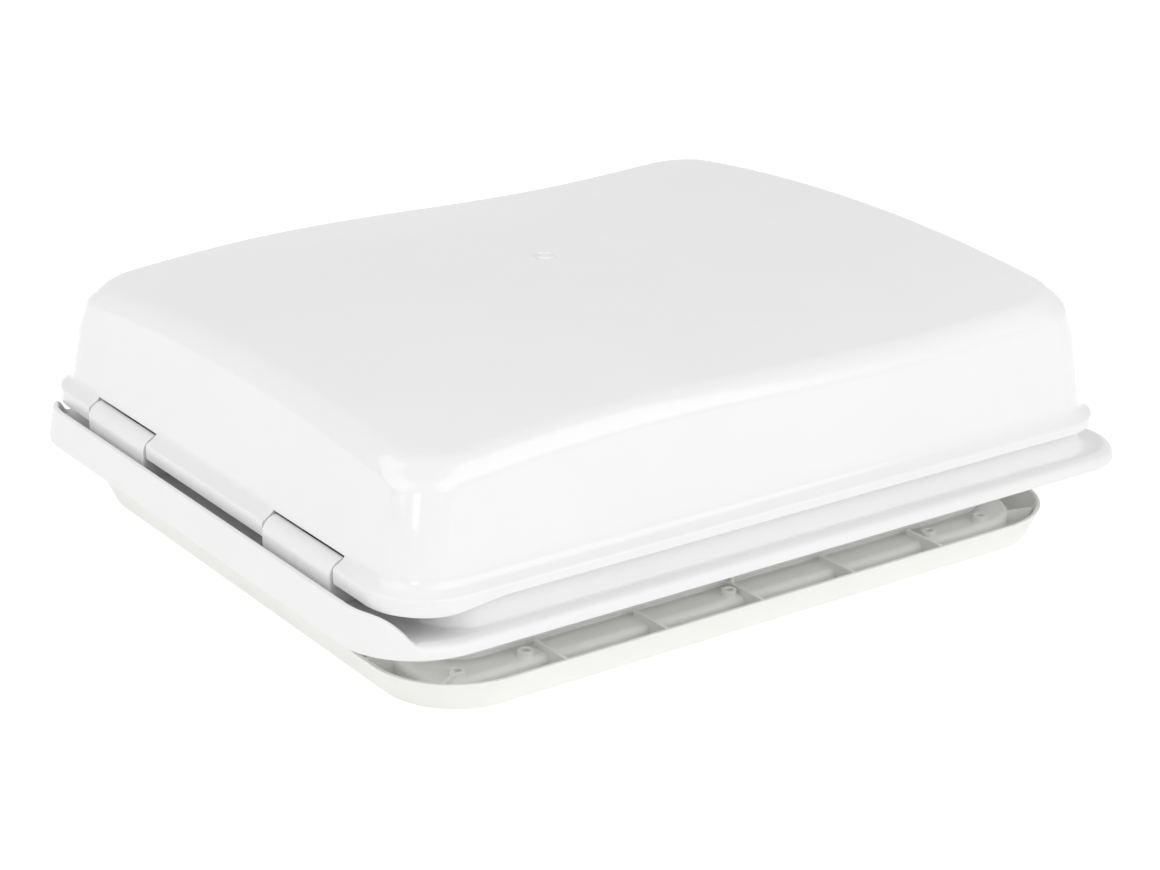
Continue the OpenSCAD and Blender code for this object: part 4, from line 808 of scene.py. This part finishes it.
class VENT_OT_trim(bpy.types.Operator):
    """Makes the ceiling trim: flared lip, ledge with ribs, screw bosses, corner webs and collar."""

    bl_idname = "vent.trim"
    bl_label = "Ceiling trim"

    def execute(self, context):
        sizes = context.scene.vent_sizes
        soft = sizes.edge_round / MM
        arc = [(LEDGE_ROUND * (1 - math.cos(a)), LEDGE_H - LEDGE_ROUND * (1 - math.sin(a)))
               for a in (math.radians(ARC_STEP * k) for k in range(7))]
        stations = [
            station(TRIM_PLAN, 0.0, 0.0, FOOT_SOFT * soft),
            station(TRIM_PLAN, -LIP_FLARE, LIP_H, soft),
            station(TRIM_PLAN, TRIM_T - LIP_FLARE, LIP_H, soft),
            station(TRIM_PLAN, TRIM_T - TROUGH_IN, TRIM_T, TRIM_FILLET),
            station(LEDGE_PLAN, 0.0, TRIM_T, TRIM_FILLET),
            *[station(LEDGE_PLAN, inset, z) for inset, z in arc],
            station(COLLAR_PLAN, 0.0, LEDGE_H, TRIM_FILLET),
            station(COLLAR_PLAN, 0.0, COLLAR_H, soft),
            station(COLLAR_PLAN, TRIM_T, COLLAR_H, soft),
            station(COLLAR_PLAN, TRIM_T, LEDGE_LOW, soft),
            station(LEDGE_PLAN, TRIM_T, LEDGE_LOW, TRIM_FILLET),
            station(LEDGE_PLAN, TRIM_T, 0.0, soft),
        ]
        trim = to_object(lofted(rounded_rows(stations), loop=True), "trim_moulding")
        for x in BOSS_X:
            for side in (-1, 1):
                cut(trim, self.pin(x, side * BOSS_Y, BOSS_HOLE))
        for x in BUTTON_X:
            for y in BUTTON_Y:
                cut(trim, self.pin(x, y, BUTTON_HOLE))
        finished(smoothed(trim), "root", "trim_plastic", "ceiling_trim")
        self.ribs(sizes)
        self.webs()
        self.bosses()
        return {"FINISHED"}

    def pin(self, x, y, radius):
        """Round cutter through the ledge."""
        points = [(x + radius * math.cos(a), y + radius * math.sin(a))
                  for a in (2 * math.pi * k / HOLE_N for k in range(HOLE_N))]
        return prism(points, LEDGE_LOW - HOLE_OVER, LEDGE_H + HOLE_OVER)

    def ribs(self, sizes):
        """Ribs between the lip and the ledge, on both long sides."""
        edge_y, back_y, riser_y = TRIM_PLAN[2], SPIGOT_Y + RIB_GAP, RISER_Y - WEB_SINK
        lip_y, top = edge_y + LIP_FLARE - TRIM_T, LIP_H - WEB_LIP
        low, ledge = TRIM_T - WEB_FOOT, LEDGE_H - WEB_SINK
        side = [(riser_y, low), (edge_y - WEB_SINK, low), (lip_y + WEB_LIP, top), (lip_y - RIB_BACK, top),
                (back_y, BOSS_TOP), (back_y, ledge), (riser_y, ledge)]
        shape = to_object(prism([(-y, z) for y, z in side], -WEB_HALF, WEB_HALF, "X"), "rib_shape")
        bevelled(shape, WEB_ROUND * MM, WEB_ANGLE)
        first = -(sizes.rib_count - 1) / 2 * sizes.rib_pitch + (CUT_C - RIB_SHIFT) * MM
        rows = run_tree(rib_tree(), "trim_ribs", {
            "Rib": shape, "Count": sizes.rib_count, "Pitch": sizes.rib_pitch, "First": first,
            "Material": FINISH["trim_plastic"]})
        bpy.data.objects.remove(shape)
        finished(smoothed(rows), "root", "trim_plastic")

    def webs(self):
        """Ribs on the hinge side, a post at each middle rib, and webs from the corners to the lip."""
        lip, edge_x, riser_x = LIP_FLARE - TRIM_T, CUT_C - TRIM_PLAN[0], RISER_X - WEB_SINK
        low, ledge, top = TRIM_T - WEB_FOOT, LEDGE_H - WEB_SINK, LIP_H - WEB_LIP
        end = [(riser_x, low), (edge_x - WEB_SINK, low), (edge_x + lip + WEB_LIP, top),
               (edge_x + lip - END_BACK, top), (riser_x, ledge)]
        reach, start, corner_top = TRIM_PLAN[4] + lip, LEDGE_PLAN[4] - WEB_SINK, LIP_H - CORNER_WEB_DROP
        corner = [(start, low), (reach - LIP_FLARE + WEB_SINK, low), (reach - CORNER_WEB_IN, corner_top),
                  (start, ledge)]
        boss, riser, lip_foot, lip_top = BOSS_WEB
        near = [(riser, low), (lip_foot, low), (lip_top, corner_top), (boss, BOSS_TOP - WEB_SINK),
                (boss, ledge), (riser, ledge)]
        post = [(-POST_Y - POST_T, ledge), (-POST_Y, ledge), (-POST_Y, POST_TOP),
                (-POST_Y - POST_T, POST_TOP)]
        corner_x, corner_y = LEDGE_PLAN[1] - LEDGE_PLAN[4], RISER_Y - LEDGE_PLAN[4]
        whole = bmesh.new()
        for points, spot, angle in (
                (end, (CUT_C, END_RIB_Y), 90), (end, (CUT_C, -END_RIB_Y), 90),
                (post, (POST_X, 0), 0), (post, (-POST_X, 0), 180),
                (near, (BOSS_X[0], -BOSS_Y), 180 - BOSS_WEB_TURN),
                (near, (BOSS_X[0], BOSS_Y), BOSS_WEB_TURN),
                (corner, (corner_x, corner_y), -45), (corner, (corner_x, -corner_y), -135)):
            part = prism(points, -WEB_HALF, WEB_HALF, "X")
            spin = Matrix.Rotation(math.radians(angle), 4, "Z")
            part.transform(Matrix.Translation(Vector((*spot, 0)) * MM) @ spin)
            mesh = bpy.data.meshes.new("web")
            part.to_mesh(mesh)
            part.free()
            whole.from_mesh(mesh)
            bpy.data.meshes.remove(mesh)
        made = bevelled(to_object(whole, "trim_webs"), WEB_ROUND * MM, WEB_ANGLE)
        finished(smoothed(made), "root", "trim_plastic")

    def bosses(self):
        """Screw bosses on the ledge, for the roof screws and the turn buttons."""
        spots = [(x, side * BOSS_Y) for x in BOSS_X for side in (-1, 1)]
        spots += [(x, y) for x in BUTTON_X for y in BUTTON_Y]
        section = [(r, LEDGE_H - BOSS_SINK + up) for r, up in BOSS_FOOT_SECTION]
        section += [(r, BOSS_TOP + up) for r, up in BOSS_TOP_SECTION]
        shape = to_object(turned(section), "boss_shape")
        made = run_tree(copies_tree(), "trim_bosses", {
            "Shape": shape, "Size": 1.0, "Material": FINISH["trim_plastic"]},
            [((x, y, 0), (0, 0, 0)) for x, y in spots])
        bpy.data.objects.remove(shape)
        finished(smoothed(made), "root", "trim_plastic")


# Flynet, winder and fasteners


class VENT_OT_flynet(bpy.types.Operator):
    """Makes the flynet: its frame, the fine net and the turn buttons that hold it."""

    bl_idname = "vent.flynet"
    bl_label = "Flynet"

    def execute(self, context):
        sizes = context.scene.vent_sizes
        surround = rounded_copy("net_frame", "net_frame_moulding", COVER_ROUND * MM)
        finished(surround, "root", "trim_plastic", "net_frame")
        net = run_tree(net_tree(), "net_weave", {
            "Width": (NET_HIGH.x - NET_LOW.x) * MM, "Depth": (NET_HIGH.y - NET_LOW.y) * MM,
            "Pitch": sizes.net_pitch, "Strand": sizes.net_strand,
            "Height": (NET_LOW.z + NET_HIGH.z) / 2 * MM, "Hole X": (CRANK_X - CUT_C) * MM,
            "Hole Radius": NET_HOLE * MM, "Material": FINISH["net_fibre"]})
        net.data.transform(Matrix.Translation((CUT_C * MM, 0, 0)))
        finished(net, "root", "net_fibre", "net_mesh")
        for k in range(1, 5):
            node = f"net_button_{k}"
            button = rounded_copy(node, node + "_moulding", BUTTON_ROUND * MM)
            finished(button, f"button_{k}", "grey_nylon", node)
        return {"FINISHED"}


class VENT_OT_winder(bpy.types.Operator):
    """Makes the winder, the lift arm, the crank and the hinge leaves with rounded edges."""

    bl_idname = "vent.winder"
    bl_label = "Winder"

    def execute(self, context):
        small = context.scene.vent_sizes.small_round
        for node, (body, slot) in WINDER_PIECES.items():
            finished(rounded_copy(node, node + "_finished", small), body, slot, node)
        return {"FINISHED"}


def screw_shape(name, head_h, shank_r, shank_len):
    """Pan head screw with a cross recess; the head's seat lies on z 0 and the shank runs down."""
    arc = [(HEAD_R * math.cos(a), head_h * math.sin(a))
           for a in (math.radians(ARC_STEP * k) for k in range(6))]
    profile = [(AXIS_R, -shank_len), (shank_r - TIP_IN, -shank_len), (shank_r, -shank_len + TIP_UP),
               (shank_r, -SEAT_LAP), (HEAD_R, -SEAT_LAP), *arc, (AXIS_R, head_h)]
    screw = to_object(turned(profile, SCREW_N), name)
    for long_x, long_y in ((CROSS_LONG, CROSS_WIDE), (CROSS_WIDE, CROSS_LONG)):
        x, y = HEAD_R * long_x, HEAD_R * long_y
        corners = [(-x, -y), (x, -y), (x, y), (-x, y)]
        cut(screw, prism(corners, head_h * CROSS_FLOOR, head_h * CROSS_TOP))
    return smoothed(screw, 40)


class VENT_OT_screws(bpy.types.Operator):
    """Sets the cross head screws of the winder, the turn buttons and the crank."""

    bl_idname = "vent.screws"
    bl_label = "Screws"

    def execute(self, context):
        tree = copies_tree()
        for node, (body, head, shank_r) in SCREWS.items():
            length, spots = self.places(node, head)
            shape = screw_shape(node + "_shape", head, shank_r, length)
            made = run_tree(tree, node + "_set", {
                "Shape": shape, "Size": 1.0, "Material": FINISH["plated_steel"]}, spots)
            bpy.data.objects.remove(shape)
            finished(smoothed(made, 40), body, "plated_steel", node)
        return {"FINISHED"}

    def places(self, node, head):
        """Length of the shank, and each screw's seat and turn."""
        low, high = (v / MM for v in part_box(node))
        if node == "gearbox_screws":
            seats = [(high.x - head, y, z) for y in (low.y + HEAD_R, high.y - HEAD_R)
                     for z in (low.z + HEAD_R, high.z - HEAD_R)]
            return high.x - head - low.x, [(seat, (0, math.pi / 2, 0)) for seat in seats]
        xs, ys = (BUTTON_X, BUTTON_Y) if node == "button_screws" else ((CRANK_X,), (0,))
        return high.z - low.z - head, [((x, y, low.z + head), (math.pi, 0, 0)) for x in xs for y in ys]


# Stage


def white_where_seen(tree, lit, seen_strength):
    """Strength of a stage surface: lit for rays that light the vent, seen_strength for rays that see it."""
    path = add_node(tree, "ShaderNodeLightPath").outputs
    first = add_node(tree, "ShaderNodeMath", [(0, path["Is Camera Ray"]), (1, path["Is Glossy Ray"])],
                     operation="MAXIMUM")
    seen = add_node(tree, "ShaderNodeMath", [(0, first.outputs[0]), (1, path["Is Transmission Ray"])],
                    operation="MAXIMUM")
    strength = add_node(tree, "ShaderNodeMapRange", [("Value", seen.outputs[0])],
                        [("To Min", lit), ("To Max", seen_strength)])
    return strength.outputs["Result"]


class VENT_OT_stage(bpy.types.Operator):
    """Sets the pale floor, the white backdrop, the lamps and the camera."""

    bl_idname = "vent.stage"
    bl_label = "Stage"

    def execute(self, context):
        scene = context.scene
        scene.view_settings.view_transform = "Standard"
        world = bpy.data.worlds.new("White backdrop")
        scene.world = world
        world.use_nodes = True
        tree = world.node_tree
        tree.nodes.clear()
        sky = add_node(tree, "ShaderNodeBackground", [("Strength", white_where_seen(tree, *SKY))],
                       [("Color", (1, 1, 1, 1))])
        add_node(tree, "ShaderNodeOutputWorld", [("Surface", sky.outputs[0])])
        self.floor()
        for name, (place, size, power) in LAMPS.items():
            self.lamp(name, place, size, power)
        self.camera(scene)
        return {"FINISHED"}

    def floor(self):
        """Pale floor just under the trim's edge; it keeps the vent's shadow."""
        bm = bmesh.new()
        bmesh.ops.create_grid(bm, x_segments=4, y_segments=4, size=FLOOR_HALF)
        plane = to_object(bm, "floor")
        plane.location.z = -FLOOR_DOWN * MM
        material = bpy.data.materials.new("Pale floor paint")
        material.use_nodes = True
        tree = material.node_tree
        tree.nodes.clear()
        paint = add_node(tree, "ShaderNodeBsdfDiffuse", [], [("Color", linear(FLOOR_COLOUR))])
        glow = add_node(tree, "ShaderNodeEmission", [("Strength", white_where_seen(tree, *GLOW))])
        both = add_node(tree, "ShaderNodeAddShader", [(0, paint.outputs[0]), (1, glow.outputs[0])])
        add_node(tree, "ShaderNodeOutputMaterial", [("Surface", both.outputs[0])])
        plane.data.materials.append(material)

    def lamp(self, name, place, size, power):
        """Square soft lamp that faces the vent."""
        data = bpy.data.lights.new(name, "AREA")
        data.size = size
        data.energy = power
        lamp = bpy.data.objects.new(name, data)
        lamp.location = place
        lamp.rotation_euler = (Vector(LAMP_AIM) - Vector(place)).to_track_quat("-Z", "Y").to_euler()
        bpy.context.scene.collection.objects.link(lamp)

    def camera(self, scene):
        """Camera fitted to the photograph's edges."""
        turn, rise = math.radians(CAMERA_TURN), math.radians(CAMERA_RISE)
        right = Vector((math.cos(turn), math.sin(turn), 0))
        up = Vector((-math.sin(turn) * math.sin(rise), math.cos(turn) * math.sin(rise), math.cos(rise)))
        axes = (right, up, right.cross(up))
        data = bpy.data.cameras.new("Camera")
        data.sensor_fit = "HORIZONTAL"
        data.sensor_width = SENSOR_W
        data.lens = SENSOR_W * FOCAL_PX / PHOTO_PX
        data.clip_start, data.clip_end = 0.05, 60
        camera = bpy.data.objects.new("Camera", data)
        place = sum((axis * along for axis, along in zip(axes, CAMERA_PLACE)), Vector()) * MM
        camera.matrix_world = Matrix.Translation(place) @ Matrix(axes).transposed().to_4x4()
        scene.collection.objects.link(camera)
        scene.camera = camera


class VENT_PT_pieces(bpy.types.Panel):
    """Lists the vent's pieces and finishes."""

    bl_idname = "VENT_PT_pieces"
    bl_label = "Roof vent"
    bl_space_type = "VIEW_3D"
    bl_region_type = "UI"
    bl_category = "Roof vent"

    def draw(self, context):
        for group in (context.scene.vent_colours, context.scene.vent_sizes):
            for name in group.__annotations__:
                self.layout.prop(group, name)
        for operator in OPERATORS:
            self.layout.operator(operator.bl_idname)


OPERATORS = (VENT_OT_stage, VENT_OT_dome, VENT_OT_roof_frame, VENT_OT_seal, VENT_OT_trim, VENT_OT_flynet,
             VENT_OT_winder, VENT_OT_screws)
CLASSES = (VentColours, VentSizes, *OPERATORS, VENT_PT_pieces)


def register():
    for item in CLASSES:
        bpy.utils.register_class(item)
    bpy.types.Scene.vent_colours = PointerProperty(type=VentColours)
    bpy.types.Scene.vent_sizes = PointerProperty(type=VentSizes)


def unregister():
    del bpy.types.Scene.vent_colours
    del bpy.types.Scene.vent_sizes
    for item in reversed(CLASSES):
        bpy.utils.unregister_class(item)


def main():
    register()
    make_materials()
    bpy.ops.vent.stage()
    bpy.ops.vent.dome()
    bpy.ops.vent.roof_frame()
    bpy.ops.vent.seal()
    bpy.ops.vent.trim()
    bpy.ops.vent.flynet()
    bpy.ops.vent.winder()
    bpy.ops.vent.screws()


if __name__ == "__main__":
    main()
